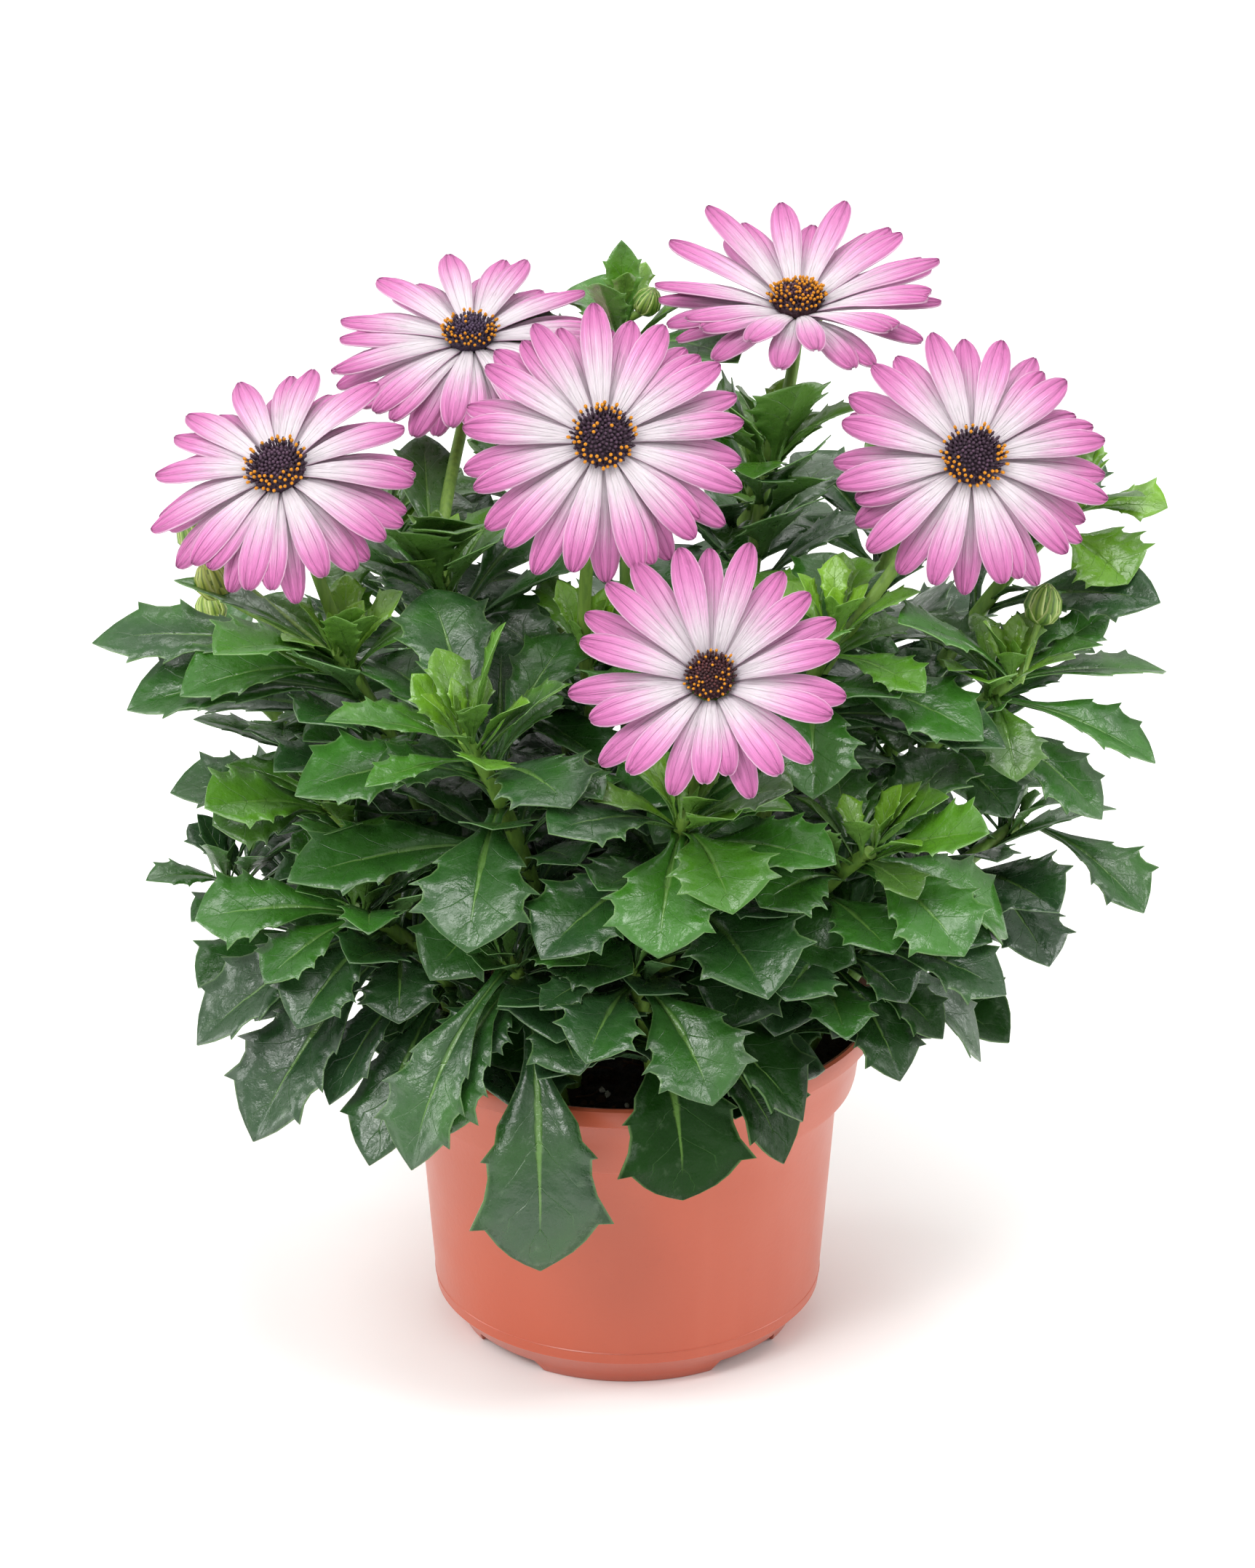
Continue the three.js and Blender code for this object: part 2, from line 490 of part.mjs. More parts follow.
// A stem with all its leaves, as one surface: each leaf grows from a face of the stem.
function shootGeometry(shoot, leaves, swell = 0, step = RING_STEP) {
  const shares = [[-1], [0.02]];
  for (let level = LEVELS.length - 1; level >= 0; level -= 1) {
    if (leaves.some(({ slot }) => slot.level === level)) {
      shares.push([...levelEnds(shoot, level), level]);
    } else if (level === 0 || (hasRoom(shoot, level) && LEVELS[level] > shares.at(-1)[0] + step)) {
      shares.push([LEVELS[level]]);
    }
  }
  const surface = { points: [], faces: [] };
  const rings = [];
  const addRing = (share) => {
    const first = surface.points.length;
    for (let k = 0; k < STEM_SIDES; k += 1) {
      const corner = stemCorner(shoot, Math.max(share, 0), k, swell);
      surface.points.push(share < 0 ? corner.setZ(SOIL_TOP - STEM_DEPTH) : corner);
    }
    rings.push(first);
    return first;
  };
  const faceBetween = (low, high, k, leaf) => {
    const next = (k + 1) % STEM_SIDES;
    const corners = [high + next, high + k, low + k, low + next];
    if (leaf) {
      growBlade(surface, corners, leafBlade(leaf));
    } else {
      surface.faces.push([corners[2], corners[3], corners[0]], [corners[2], corners[0], corners[1]]);
    }
  };
  for (const [low, high, level] of shares) {
    for (const share of high === undefined ? [low] : [low, high]) {
      const ring = addRing(share);
      for (let k = 0; k < STEM_SIDES && rings.length > 1; k += 1) {
        const leaf = share === high
          && leaves.find(({ slot }) => slot.level === level && slot.facet === k);
        faceBetween(rings.at(-2), ring, k, leaf);
      }
    }
  }
  for (let k = 1; k + 1 < STEM_SIDES; k += 1) {
    surface.faces.push([0, k + 1, k], [rings.at(-1), rings.at(-1) + k, rings.at(-1) + k + 1]);
  }
  return meshGeometry(surface.points, surface.faces);
}

// ---------------------------------------------------------------- keeping pieces apart

const taken = [];

// The loose triangles of a geometry, each with its box, and the box of them all.
function outlineOf(geometry) {
  const flat = geometry.index ? geometry.toNonIndexed() : geometry;
  const source = flat.attributes.position;
  const triangles = [];
  for (let i = 0; i < source.count; i += 3) {
    const corners = [0, 1, 2].map((k) => new THREE.Vector3().fromBufferAttribute(source, i + k));
    triangles.push({ corners, box: new THREE.Box3().setFromPoints(corners) });
  }
  const box = new THREE.Box3();
  triangles.forEach((triangle) => box.union(triangle.box));
  return { triangles, box };
}

// What a piece takes up: as it is for other pieces, and without its root for its own shoot.
function take(owner, geometry, rootless = geometry) {
  taken.push({ owner, whole: outlineOf(geometry), free: outlineOf(rootless) });
}

const ray = new THREE.Ray();
const hit = new THREE.Vector3();
function edgeCuts(start, end, [a, b, c]) {
  ray.origin.copy(start);
  ray.direction.copy(end).sub(start);
  const length = ray.direction.length();
  ray.direction.divideScalar(length);
  return ray.intersectTriangle(a, b, c, false, hit) !== null && hit.distanceTo(start) <= length;
}

function trianglesCut(one, two) {
  for (let k = 0; k < 3; k += 1) {
    if (edgeCuts(one[k], one[(k + 1) % 3], two) || edgeCuts(two[k], two[(k + 1) % 3], one)) {
      return true;
    }
  }
  return false;
}

function cuts(one, two) {
  if (!one.box.intersectsBox(two.box)) {
    return false;
  }
  const near = two.triangles.filter((triangle) => triangle.box.intersectsBox(one.box));
  return one.triangles.some((first) => near.some((second) =>
    first.box.intersectsBox(second.box) && trianglesCut(first.corners, second.corners)));
}

// Whether no two faces of a piece cut each other, apart from those that share a corner.
function isSound({ triangles }) {
  const touch = (one, two) => one.corners.some((a) => two.corners.some((b) => a.distanceTo(b) < 1e-4));
  return !triangles.some((one, k) => triangles.slice(k + 1).some((two) =>
    one.box.intersectsBox(two.box) && !touch(one, two) && trianglesCut(one.corners, two.corners)));
}

function isClear(owner, swollen, rootless) {
  return !taken.some((other) => (
    other.owner === owner ? cuts(rootless, other.free) : cuts(swollen, other.whole)));
}

// ---------------------------------------------------------------- growing the leaves

// The turns tried in order until a leaf is clear: [heading, rise, roll, share of its length].
const TURNS = [
  [0, 0, 0, 1], [0, 6, 0, 1], [0, -6, 0, 1], [6, 0, 8, 1], [-6, 0, -8, 1], [0, 12, 0, 1],
  [10, 5, 12, 1], [-10, 5, -12, 1], [10, -6, 12, 0.95], [-10, -6, -12, 0.95], [0, 0, 0, 0.88],
  [14, 12, 0, 0.92], [-14, 12, 0, 0.92], [0, 18, 0, 0.9], [0, -14, 0, 0.85], [18, 0, 16, 0.85],
  [-18, 0, -16, 0.85], [8, 22, 0, 0.8], [-8, 22, 0, 0.8], [0, 0, 0, 0.74], [24, 8, 0, 0.75],
  [-24, 8, 0, 0.75], [0, 28, 0, 0.72], [12, -14, 0, 0.7], [-12, -14, 0, 0.7], [0, 0, 0, 0.62],
];

function turnedLeaf(leaf, [heading, rise, roll, size]) {
  const [at, h, r, length, width, arch] = leaf.form;
  const form = [at, h + heading, r + rise, length * size, width * (0.4 + 0.6 * size), arch];
  return { ...leaf, form, roll: leaf.roll + roll };
}

// The free faces of a stem that suit a leaf best, by their height and by where they face.
function bestSlots(shoot, [at, heading]) {
  const slots = [];
  LEVELS.forEach((share, level) => {
    for (let facet = 0; facet < STEM_SIDES; facet += 1) {
      const facing = 360 * (facet + 0.5) / STEM_SIDES;
      const off = Math.abs(THREE.MathUtils.euclideanModulo(facing - heading + 180, 360) - 180);
      const isTaken = shoot.leavesGrown.some(({ slot }) => slot.level === level && slot.facet === facet);
      if (off < 75 && !isTaken && hasRoom(shoot, level)) {
        slots.push({ cost: off + 400 * Math.abs(share - at), level, facet });
      }
    }
  });
  return slots.sort((one, two) => one.cost - two.cost).slice(0, SLOT_TRIES);
}

function leafTeeth(length) {
  if (length < 24) {
    return 1;
  }
  return length < 44 ? 2 : 3;
}

function growLeaf(shoot, form, number, teeth) {
  const roll = spread(9, 3, shoot.number, number);
  for (const slot of bestSlots(shoot, form)) {
    const root = rootCorners(shoot, slot);
    const base = root.reduce((sum, corner) => sum.add(corner), new THREE.Vector3()).divideScalar(4);
    for (const turn of TURNS) {
      const leaf = turnedLeaf({ slot, root, base, form, roll, teeth }, turn);
      const rootless = leafGeometry(leaf, 0, 0.06);
      if (isSound(outlineOf(leafGeometry(leaf)))
        && isClear(shoot.name, outlineOf(leafGeometry(leaf, CLEARANCE)), outlineOf(rootless))) {
        shoot.leavesGrown.push(leaf);
        take(shoot.name, leafGeometry(leaf), rootless);
        return;
      }
    }
  }
}

const GOLDEN_ANGLE = 137.5;

// The young leaves that stand around the tip of every shoot.
function tipLeaves(shoot) {
  const forms = [];
  for (let k = 0; k < 2; k += 1) {
    const heading = GOLDEN_ANGLE * k + 360 * chance(1, shoot.number);
    forms.push([1, heading, 72 - 9 * k, 15 + 3.5 * k, 6 + 1.6 * k, 8 + 4 * k]);
  }
  return forms;
}

// Leaves set by rule fill each shoot from top to bottom, longer and lower further down.
function fillerLeaves(shoot) {
  const forms = [];
  for (let k = 0; k < shoot.filler; k += 1) {
    const down = (k + 0.5) / shoot.filler;
    const heading = GOLDEN_ANGLE * k + 360 * chance(2, shoot.number) + spread(12, 4, shoot.number, k);
    const length = mix(39, 54, down) + spread(4, 5, shoot.number, k);
    forms.push([mix(0.96, 0.46, down), heading, mix(32, -8, down), length, 0.42 * length, 20]);
  }
  return forms;
}

// ---------------------------------------------------------------- blooms and buds

// A bloom's own axes: across its face, up it, and out of it.
function bloomAxes({ turn, rise }) {
  const angle = radians(turn);
  const lean = radians(rise);
  const out = new THREE.Vector3(
    Math.cos(angle) * Math.cos(lean), Math.sin(angle) * Math.cos(lean), Math.sin(lean));
  const across = new THREE.Vector3().crossVectors(UP, out).normalize();
  return new THREE.Matrix4().makeBasis(across, new THREE.Vector3().crossVectors(out, across), out);
}

function placedOnBloom(bloom, geometry) {
  return geometry.applyMatrix4(bloomAxes(bloom)).translate(...bloom.centre);
}

// The blade of one petal. Petals stand in two layers, so that neighbours overlap untouched.
function petalBlade(bloom, number, rootHeight) {
  const isInner = number % 2 === 0;
  const angle = 2 * Math.PI * (number + 0.5 + spread(0.14, 21, bloom.number, number)) / bloom.petals;
  const start = radians(bloom.lift + (isInner ? 5 : -7));
  const end = radians((isInner ? 4 : -6) - bloom.droop + spread(4, 22, bloom.number, number));
  const length = bloom.reach * PETAL_LENGTH * (1 + spread(0.05, 23, bloom.number, number));
  const bend = start - end;
  const point = (share, reach, height) => {
    const slope = start - bend * share;
    const out = PETAL_ROOT + length * (Math.sin(start) - Math.sin(slope)) / bend;
    const rise = rootHeight + length * (Math.cos(slope) - Math.cos(start)) / bend;
    return new THREE.Vector3(
      out - height * Math.sin(slope), reach * PETAL_WIDTH / 2, rise + height * Math.cos(slope))
      .applyAxisAngle(UP, angle);
  };
  const half = PETAL_THICKNESS / 2;
  const side = (hand) => [[0.45, 0.84], [0.84, 0.84]]
    .map(([share, reach]) => ({ share, point: point(share, hand * reach, 0) }));
  return {
    ribs: [{ share: 0.52, top: point(0.52, 0, half), under: point(0.52, 0, -half) }],
    left: side(1), right: side(-1), tip: point(1, 0, 0),
  };
}

// Petals grow from the sides of a low drum: inner ones from its upper faces, outer ones below.
function petalsGeometry(bloom) {
  const sides = bloom.petals;
  const levels = [-2.4, -1.5, -0.6];
  const surface = { points: [], faces: [] };
  for (const height of levels) {
    for (let k = 0; k < sides; k += 1) {
      const angle = 2 * Math.PI * k / sides;
      surface.points.push(
        new THREE.Vector3(PETAL_ROOT * Math.cos(angle), PETAL_ROOT * Math.sin(angle), height));
    }
  }
  for (let level = 0; level < 2; level += 1) {
    for (let k = 0; k < sides; k += 1) {
      const next = (k + 1) % sides;
      const [low, high] = [level * sides, (level + 1) * sides];
      if (k % 2 === 1 - level) {
        const middle = (levels[level] + levels[level + 1]) / 2;
        growBlade(surface, [high + next, high + k, low + k, low + next], petalBlade(bloom, k, middle));
      } else {
        surface.faces.push([low + k, low + next, high + next], [low + k, high + next, high + k]);
      }
    }
  }
  const top = 2 * sides;
  for (let k = 1; k + 1 < sides; k += 1) {
    surface.faces.push([0, k + 1, k], [top, top + k, top + k + 1]);
  }
  return placedOnBloom(bloom, meshGeometry(surface.points, surface.faces));
}

// The dome of florets: every other point of its rings stands out. [share of the radius, height].
function discGeometry(bloom) {
  const profile = [[0.86, 0], [0.98, 1.3], [0.82, 2.7], [0.58, 3.6], [0.3, 4.1]];
  const ring = (j, i) => {
    const bump = j > 0 && (i + j) % 2 ? 0.6 : 0;
    return [profile[j][0] * DISC_RADIUS + 0.8 * bump, profile[j][1] + bump];
  };
  const geometry = ringedSolid(profile.length, 10, 0, 4.2, ring);
  return placedOnBloom(bloom, geometry.scale(bloom.disc, bloom.disc, bloom.disc).translate(0, 0, -GAP));
}

// The green cup behind a bloom, with a rim of pointed bracts.
function cupGeometry(bloom) {
  const profile = [[1.6, -10], [4.6, -7.6], [6.2, -5], [6.4, -2.7]];
  const ring = (j, i) => (j === 3 && i % 2 ? [8.4, -3.6] : profile[j]);
  return placedOnBloom(bloom, ringedSolid(profile.length, 10, -10, -2.7, ring));
}

// The long bare stalk of a bloom, from the stem of its shoot to its cup.
function peduncleGeometry(bloom, shoot) {
  const out = new THREE.Vector3(0, 0, 1).transformDirection(bloomAxes(bloom));
  const centre = new THREE.Vector3(...bloom.centre);
  const neck = centre.clone().addScaledVector(out, -24);
  const start = stemPoint(shoot, bloom.at);
  const along = stemPoint(shoot, bloom.at + 0.05).sub(stemPoint(shoot, bloom.at)).normalize();
  const leaving = start.clone().addScaledVector(along, 0.3 * start.distanceTo(neck));
  const path = new THREE.CubicBezierCurve3(start, leaving, neck, centre.clone().addScaledVector(out, -8.5));
  return tube(path.getPoints(5), PEDUNCLE_RADIUS, 5, 5);
}

// A bud is a fat barrel of closed bracts on a short stalk from the tip of its shoot.
function budPieces(shoot, [x, y, z, radius]) {
  const tip = new THREE.Vector3(...shoot.tip);
  const centre = new THREE.Vector3(x, y, z);
  const sag = tip.clone().lerp(centre, 0.5).addScaledVector(UP, -2);
  const stalk = tube([tip.clone().addScaledVector(UP, -2), sag, centre], STALK_RADIUS, 4, 3);
  const size = radius / BUD_RADIUS;
  const profile = [[2.4, 0.8], [4.7, 3.4], [4.9, 6.6], [3, 10]];
  const ring = (j, i) => [profile[j][0] * (i % 2 ? 1.06 : 0.94), profile[j][1] + (i % 2 ? 0.4 : 0)];
  const barrel = ringedSolid(profile.length, 8, 0, BUD_LENGTH - 0.4, ring);
  barrel.scale(size, size, size).translate(0, 0, -0.4 * BUD_LENGTH * size);
  const lean = centre.clone().sub(tip).setZ(0).normalize().multiplyScalar(0.45).add(UP).normalize();
  barrel.applyQuaternion(new THREE.Quaternion().setFromUnitVectors(UP, lean));
  barrel.translate(x, y, z);
  return [stalk, barrel];
}

// ---------------------------------------------------------------- putting the plant together

const group = new THREE.Group();
function addPiece(name, geometry, color, roughness) {
  const material = new THREE.MeshStandardMaterial({ color, roughness, metalness: 0 });
  const mesh = new THREE.Mesh(geometry, material);
  mesh.name = name;
  group.add(mesh);
}

const pot = potGeometry();
const soil = soilGeometry();
addPiece('pot', pot, POT_COLOUR, 0.45);
addPiece('soil', soil, SOIL_COLOUR, 0.95);
take('pot', pot);
take('soil', soil);

BLOOMS.forEach((bloom, number) => {
  bloom.number = number;
  const petals = petalsGeometry(bloom);
  const disc = discGeometry(bloom);
  addPiece(`${bloom.name}_petals`, petals, PETAL_COLOUR, 0.55);
  addPiece(`${bloom.name}_disc`, disc, DISC_COLOUR, 0.7);
  take(bloom.name, petals);
  take(bloom.name, disc);
});

SHOOTS.forEach((shoot, number) => {
  shoot.number = number;
  shoot.leavesGrown = [];
  shoot.extras = (shoot.buds ?? []).flatMap((bud) => budPieces(shoot, bud));
  for (const bloom of BLOOMS.filter(({ from }) => from === shoot.name)) {
    shoot.extras.push(peduncleGeometry(bloom, shoot), cupGeometry(bloom));
  }
  take(shoot.name, shootGeometry(shoot, [], CLEARANCE, 0), shootGeometry(shoot, [], 0, 0));
  shoot.extras.forEach((geometry) => take(shoot.name, geometry));
});

const largeLeaves = ({ leaves }) => leaves;
for (const forms of [tipLeaves, largeLeaves, fillerLeaves]) {
  for (const shoot of SHOOTS) {
    forms(shoot).forEach((form, number) => {
      const teeth = forms === fillerLeaves ? 2 : leafTeeth(form[3]);
      growLeaf(shoot, form, number, teeth);
    });
  }
}

for (const shoot of SHOOTS) {
  const plant = shootGeometry(shoot, shoot.leavesGrown);
  const whole = [plant, ...shoot.extras].map((geometry) => solid(geometry));
  addPiece(shoot.name, geometryOf(joined(whole)), LEAF_COLOUR, 0.5);
}

export default group;
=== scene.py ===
"""The finished look of a potted osteospermum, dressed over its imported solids. Metres, +Z up."""

import math
import random
from collections import namedtuple
from contextlib import contextmanager

import bmesh
import bpy
import numpy as np
from mathutils import Matrix, Vector
from mathutils.bvhtree import BVHTree


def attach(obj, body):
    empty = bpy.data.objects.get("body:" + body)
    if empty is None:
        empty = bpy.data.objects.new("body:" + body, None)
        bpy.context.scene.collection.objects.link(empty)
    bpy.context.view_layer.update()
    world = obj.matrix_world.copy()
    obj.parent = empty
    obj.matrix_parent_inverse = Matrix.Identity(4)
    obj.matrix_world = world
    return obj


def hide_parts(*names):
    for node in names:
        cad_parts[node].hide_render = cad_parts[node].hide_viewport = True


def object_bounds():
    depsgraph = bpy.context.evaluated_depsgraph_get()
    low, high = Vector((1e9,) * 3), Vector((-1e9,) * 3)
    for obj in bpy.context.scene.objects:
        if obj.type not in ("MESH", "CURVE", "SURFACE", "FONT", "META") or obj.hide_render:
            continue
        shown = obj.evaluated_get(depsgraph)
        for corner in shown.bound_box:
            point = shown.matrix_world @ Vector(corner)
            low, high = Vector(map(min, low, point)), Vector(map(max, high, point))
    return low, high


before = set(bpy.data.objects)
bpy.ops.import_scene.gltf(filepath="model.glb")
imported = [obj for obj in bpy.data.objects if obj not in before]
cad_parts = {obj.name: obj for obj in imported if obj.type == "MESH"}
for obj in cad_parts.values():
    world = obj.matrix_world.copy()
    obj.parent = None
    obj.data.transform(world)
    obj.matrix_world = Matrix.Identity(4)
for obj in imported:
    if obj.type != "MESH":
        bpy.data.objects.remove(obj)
cad_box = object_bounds()

MM = 0.001
UP = Vector((0, 0, 1))
FULL_TURN = 2 * math.pi
GOLDEN_DEGREES = 137.5
dice = random.Random(20)


# ------------------------------------------------------------------ the plant's layout

SOIL_TOP = 78
STEM_RADIUS = 2.5

# Each shoot's stem: where it leaves the soil, and its tip. Millimetres.
STEMS = {
    "front_left_high": ((-14, -27), (-40, -55, 188)),
    "front_left_low": ((-33, -24), (-68, -48, 138)),
    "front": ((8, -34), (14, -68, 173)),
    "front_right": ((27, -20), (60, -55, 157)),
    "right": ((36, 1), (98, -15, 187)),
    "middle_right": ((23, -10), (52, -28, 205)),
    "left": ((-37, -5), (-73, -25, 198)),
    "left_low": ((-41, -15), (-76, -22, 155)),
    "top": ((1, 27), (-1, 60, 255)),
    "middle_back": ((23, 20), (37, 35, 231)),
    "right_back": ((43, 16), (115, 22, 219)),
    "middle_left": ((-21, 11), (-49, 5, 208)),
    "rim_left": ((-17, -42), (-30, -62, 131)),
    "rim_front": ((8, -45), (0, -70, 133)),
    "rim_right": ((31, -34), (54, -52, 130)),
    "middle": ((-4, 3), (-11, -10, 192)),
    "back_1": ((-28, 20), (-66, 52, 200)),
    "back_2": ((-11, 38), (-24, 70, 205)),
    "back_3": ((13, 36), (33, 62, 208)),
    "back_4": ((33, 28), (76, 60, 203)),
    "side_right": ((45, -10), (102, 20, 130)),
    "side_left": ((-44, 12), (-98, 36, 160)),
    "back_low_1": ((-32, 32), (-62, 70, 143)),
    "back_low_2": ((1, 46), (4, 60, 138)),
    "back_low_3": ((24, 39), (60, 59, 140)),
    "low_left": ((-46, -2), (-104, 2, 122)),
}

# A bloom leaves its shoot at a share of the stem. Its disc has a centre and a size, its face
# turns and rises in degrees, and "ripe" says how far its florets are.
Bloom = namedtuple("Bloom", "shoot share centre turn rise size ripe")
BLOOMS = {
    "left": Bloom("left", 0.8, (-86, -22, 246), -112, 58, 1.0, 0.8),
    "back_left": Bloom("middle_left", 0.9, (-40, 48, 254), -97, 74, 0.88, 1.0),
    "middle": Bloom("middle", 0.95, (-6, -37, 260), -86, 42, 1.02, 0.8),
    "back_right": Bloom("middle_back", 0.85, (43, 43, 265), -90, 79, 0.9, 0.4),
    "right": Bloom("middle_right", 0.7, (85, -20, 248), -80, 42, 1.0, 0.8),
    "front": Bloom("front", 0.85, (20, -76, 214), -92, 46, 0.8, 0.15),
}

Bud = namedtuple("Bud", "shoot centre radius yellow")
BUDS = [
    Bud("right", (104, -7, 202), 4.8, 0.1),
    Bud("left", (-103, -12, 211), 4.8, 0.9),
    Bud("left", (-109, 8, 215), 4.4, 0.2),
    Bud("top", (5, 57, 259), 3.6, 0.1),
    Bud("back_3", (41, 73, 222), 4.6, 0.2),
    Bud("side_left", (-108, 50, 176), 4.2, 0.4),
]

# Large leaves that only the finished plant has: shoot, share of the stem, heading, rise,
# length, width and arch, in millimetres and degrees.
MORE_LARGE_LEAVES = [
    ("front_left_high", 0.50, 245, -12, 46, 24, 22),
    ("front_right", 1.00, 55, 16, 42, 22, 16),
    ("left", 1.00, 85, 22, 38, 14, 12),
    ("left", 0.97, 165, 22, 45, 19, 14),
    ("middle_left", 0.97, 280, 24, 40, 22, 24),
    ("middle_left", 1.00, 95, 30, 42, 16, 10),
    ("top", 0.92, 100, 85, 30, 10, 6),
    ("rim_left", 0.50, 70, 38, 42, 22, 20),
    ("back_low_1", 0.60, 115, -8, 42, 23, 22),
    ("back_low_1", 1.00, 135, -24, 40, 22, 26),
    ("back_low_2", 0.60, 95, -10, 42, 23, 24),
    ("back_low_2", 1.00, 70, -22, 40, 22, 26),
    ("back_low_3", 0.60, 60, -8, 42, 23, 22),
    ("back_low_3", 1.00, 45, -24, 40, 22, 26),
    ("back_1", 0.35, 140, 4, 44, 23, 24),
    ("back_2", 0.30, 100, 6, 42, 23, 24),
    ("back_3", 0.30, 80, 6, 42, 23, 24),
    ("back_4", 0.35, 45, 4, 44, 23, 24),
    ("side_right", 0.80, 300, -18, 42, 23, 22),
    ("side_right", 1.00, 325, -24, 40, 22, 22),
    ("rim_right", 1.00, 345, -12, 42, 24, 24),
    ("rim_right", 0.85, 315, -22, 40, 23, 24),
    ("rim_right", 0.80, 240, 6, 40, 21, 22),
    ("rim_right", 0.72, 150, 26, 40, 21, 22),
]

YOUNG_LEAVES = 10
FILLING_LEAVES = 16


def clamp(value):
    return min(1.0, max(0.0, value))


def stem_point(shoot, share):
    """A point on a stem's centre line: it rises steeply and then leans out to its tip."""
    (x, y), (tip_x, tip_y, tip_z) = STEMS[shoot]
    base = Vector((x, y, SOIL_TOP))
    tip = Vector((tip_x, tip_y, tip_z))
    bend_z = SOIL_TOP + 0.66 * (tip_z - SOIL_TOP)
    bend = Vector((x + 0.3 * (tip_x - x), y + 0.3 * (tip_y - y), bend_z))
    left = 1 - share
    return (base * left * left + bend * 2 * left * share + tip * share * share) * MM


def bloom_axes(bloom):
    """A bloom's axes: across its face, up it, and out of it."""
    angle = math.radians(bloom.turn)
    lean = math.radians(bloom.rise)
    flat = math.cos(lean)
    out = Vector((math.cos(angle) * flat, math.sin(angle) * flat, math.sin(lean)))
    across = UP.cross(out).normalized()
    return across, out.cross(across), out


def bloom_place(bloom):
    """The matrix that puts a bloom's own shape, made at the origin facing +Z, in its place."""
    turned_to = Matrix(bloom_axes(bloom)).transposed().to_4x4()
    return Matrix.Translation(Vector(bloom.centre) * MM) @ turned_to


# ------------------------------------------------------------------ modelling helpers

def deselect():
    if bpy.context.object and bpy.context.object.mode != "OBJECT":
        bpy.ops.object.mode_set(mode="OBJECT")
    bpy.ops.object.select_all(action="DESELECT")


def make_active(piece):
    """Selects one piece alone, for the operators."""
    deselect()
    piece.select_set(True)
    bpy.context.view_layer.objects.active = piece


@contextmanager
def shaping(piece):
    """Edit mode on a piece, with its whole mesh selected at first."""
    make_active(piece)
    bpy.ops.object.mode_set(mode="EDIT")
    bpy.ops.mesh.select_all(action="SELECT")
    yield
    bpy.ops.object.mode_set(mode="OBJECT")


def pick(wanted):
    """In edit mode, selects the corners that pass the test and the faces that they fill."""
    skin = bmesh.from_edit_mesh(bpy.context.object.data)
    for corner in skin.verts:
        corner.select = bool(wanted(corner.co))
    skin.select_flush_mode()
    bmesh.update_edit_mesh(bpy.context.object.data)


def move(x, y, z):
    bpy.ops.transform.translate(value=(x, y, z))


def scale(x, y, z, about=(0, 0, 0)):
    bpy.ops.transform.resize(value=(x, y, z), center_override=about)


def extrude(x, y, z):
    bpy.ops.mesh.extrude_region_move(TRANSFORM_OT_translate={"value": (x, y, z)})


def finish_modifiers(piece):
    """Applies every modifier of the piece."""
    make_active(piece)
    for modifier in list(piece.modifiers):
        bpy.ops.object.modifier_apply(modifier=modifier.name)


def turned(name, profile, sides):
    """A closed body round the z axis: a disc, extruded and scaled from ring to ring.
    The profile is [radius, height] in millimetres."""
    deselect()
    radius, height = profile[0]
    bpy.ops.mesh.primitive_circle_add(
        vertices=sides, radius=radius * MM, fill_type="NGON", location=(0, 0, height * MM))
    piece = bpy.context.object
    piece.name = name
    bpy.ops.object.transform_apply(location=True, rotation=True, scale=True)
    with shaping(piece):
        for next_radius, next_height in profile[1:]:
            extrude(0, 0, (next_height - height) * MM)
            growth = next_radius / radius
            scale(growth, growth, 1, (0, 0, next_height * MM))
            radius, height = next_radius, next_height
        bpy.ops.mesh.select_all(action="SELECT")
        bpy.ops.mesh.normals_make_consistent(inside=False)
    return piece


def copy_of(master, name):
    """A copy with its own mesh."""
    twin = master.copy()
    twin.data = master.data.copy()
    twin.name = name
    bpy.context.collection.objects.link(twin)
    return twin


def corners_of(piece):
    """The corners of a piece as an array of rows x, y, z."""
    flat = np.empty(len(piece.data.vertices) * 3)
    piece.data.vertices.foreach_get("co", flat)
    return flat.reshape(-1, 3)


def move_corners(piece, places):
    """Puts the corners of a piece at the given rows x, y, z."""
    piece.data.vertices.foreach_set("co", np.asarray(places, dtype=np.float32).ravel())
    piece.data.update()


def mark(piece, **marks):
    """Keeps numbers for each corner, which the piece's material reads by their names."""
    count = len(piece.data.vertices)
    for name, values in marks.items():
        kept = piece.data.attributes.get(name)
        kept = kept or piece.data.attributes.new(name, "FLOAT", "POINT")
        spread = np.broadcast_to(np.asarray(values, dtype=np.float32), count)
        kept.data.foreach_set("value", spread.copy())


def joined(name, parts):
    """Joins pieces into one, in the first one's object."""
    deselect()
    for part in parts:
        part.select_set(True)
    bpy.context.view_layer.objects.active = parts[0]
    if len(parts) > 1:
        bpy.ops.object.join()
    parts[0].name = name
    parts[0].data.name = name
    return parts[0]


def smooth(piece, degrees=None):
    """Shades a piece smooth, all over or up to an angle between faces."""
    make_active(piece)
    if degrees is None:
        bpy.ops.object.shade_smooth()
    else:
        bpy.ops.object.shade_smooth_by_angle(angle=math.radians(degrees))


def placed(piece, matrix):
    """Moves a piece's mesh, and leaves its object at the origin."""
    piece.data.transform(matrix)
    return piece


def finished(piece, node):
    """Hands a piece over: it hangs from the root body and stands for its node, which is hidden."""
    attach(piece, "root")
    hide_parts(node)


# ------------------------------------------------------------------ materials

def colour(red, green, blue):
    """A screen colour, 0 to 255, as the linear colour that a shader takes."""
    def linear(value):
        share = value / 255
        return share / 12.92 if share <= 0.04045 else ((share + 0.055) / 1.055) ** 2.4
    return (linear(red), linear(green), linear(blue), 1)


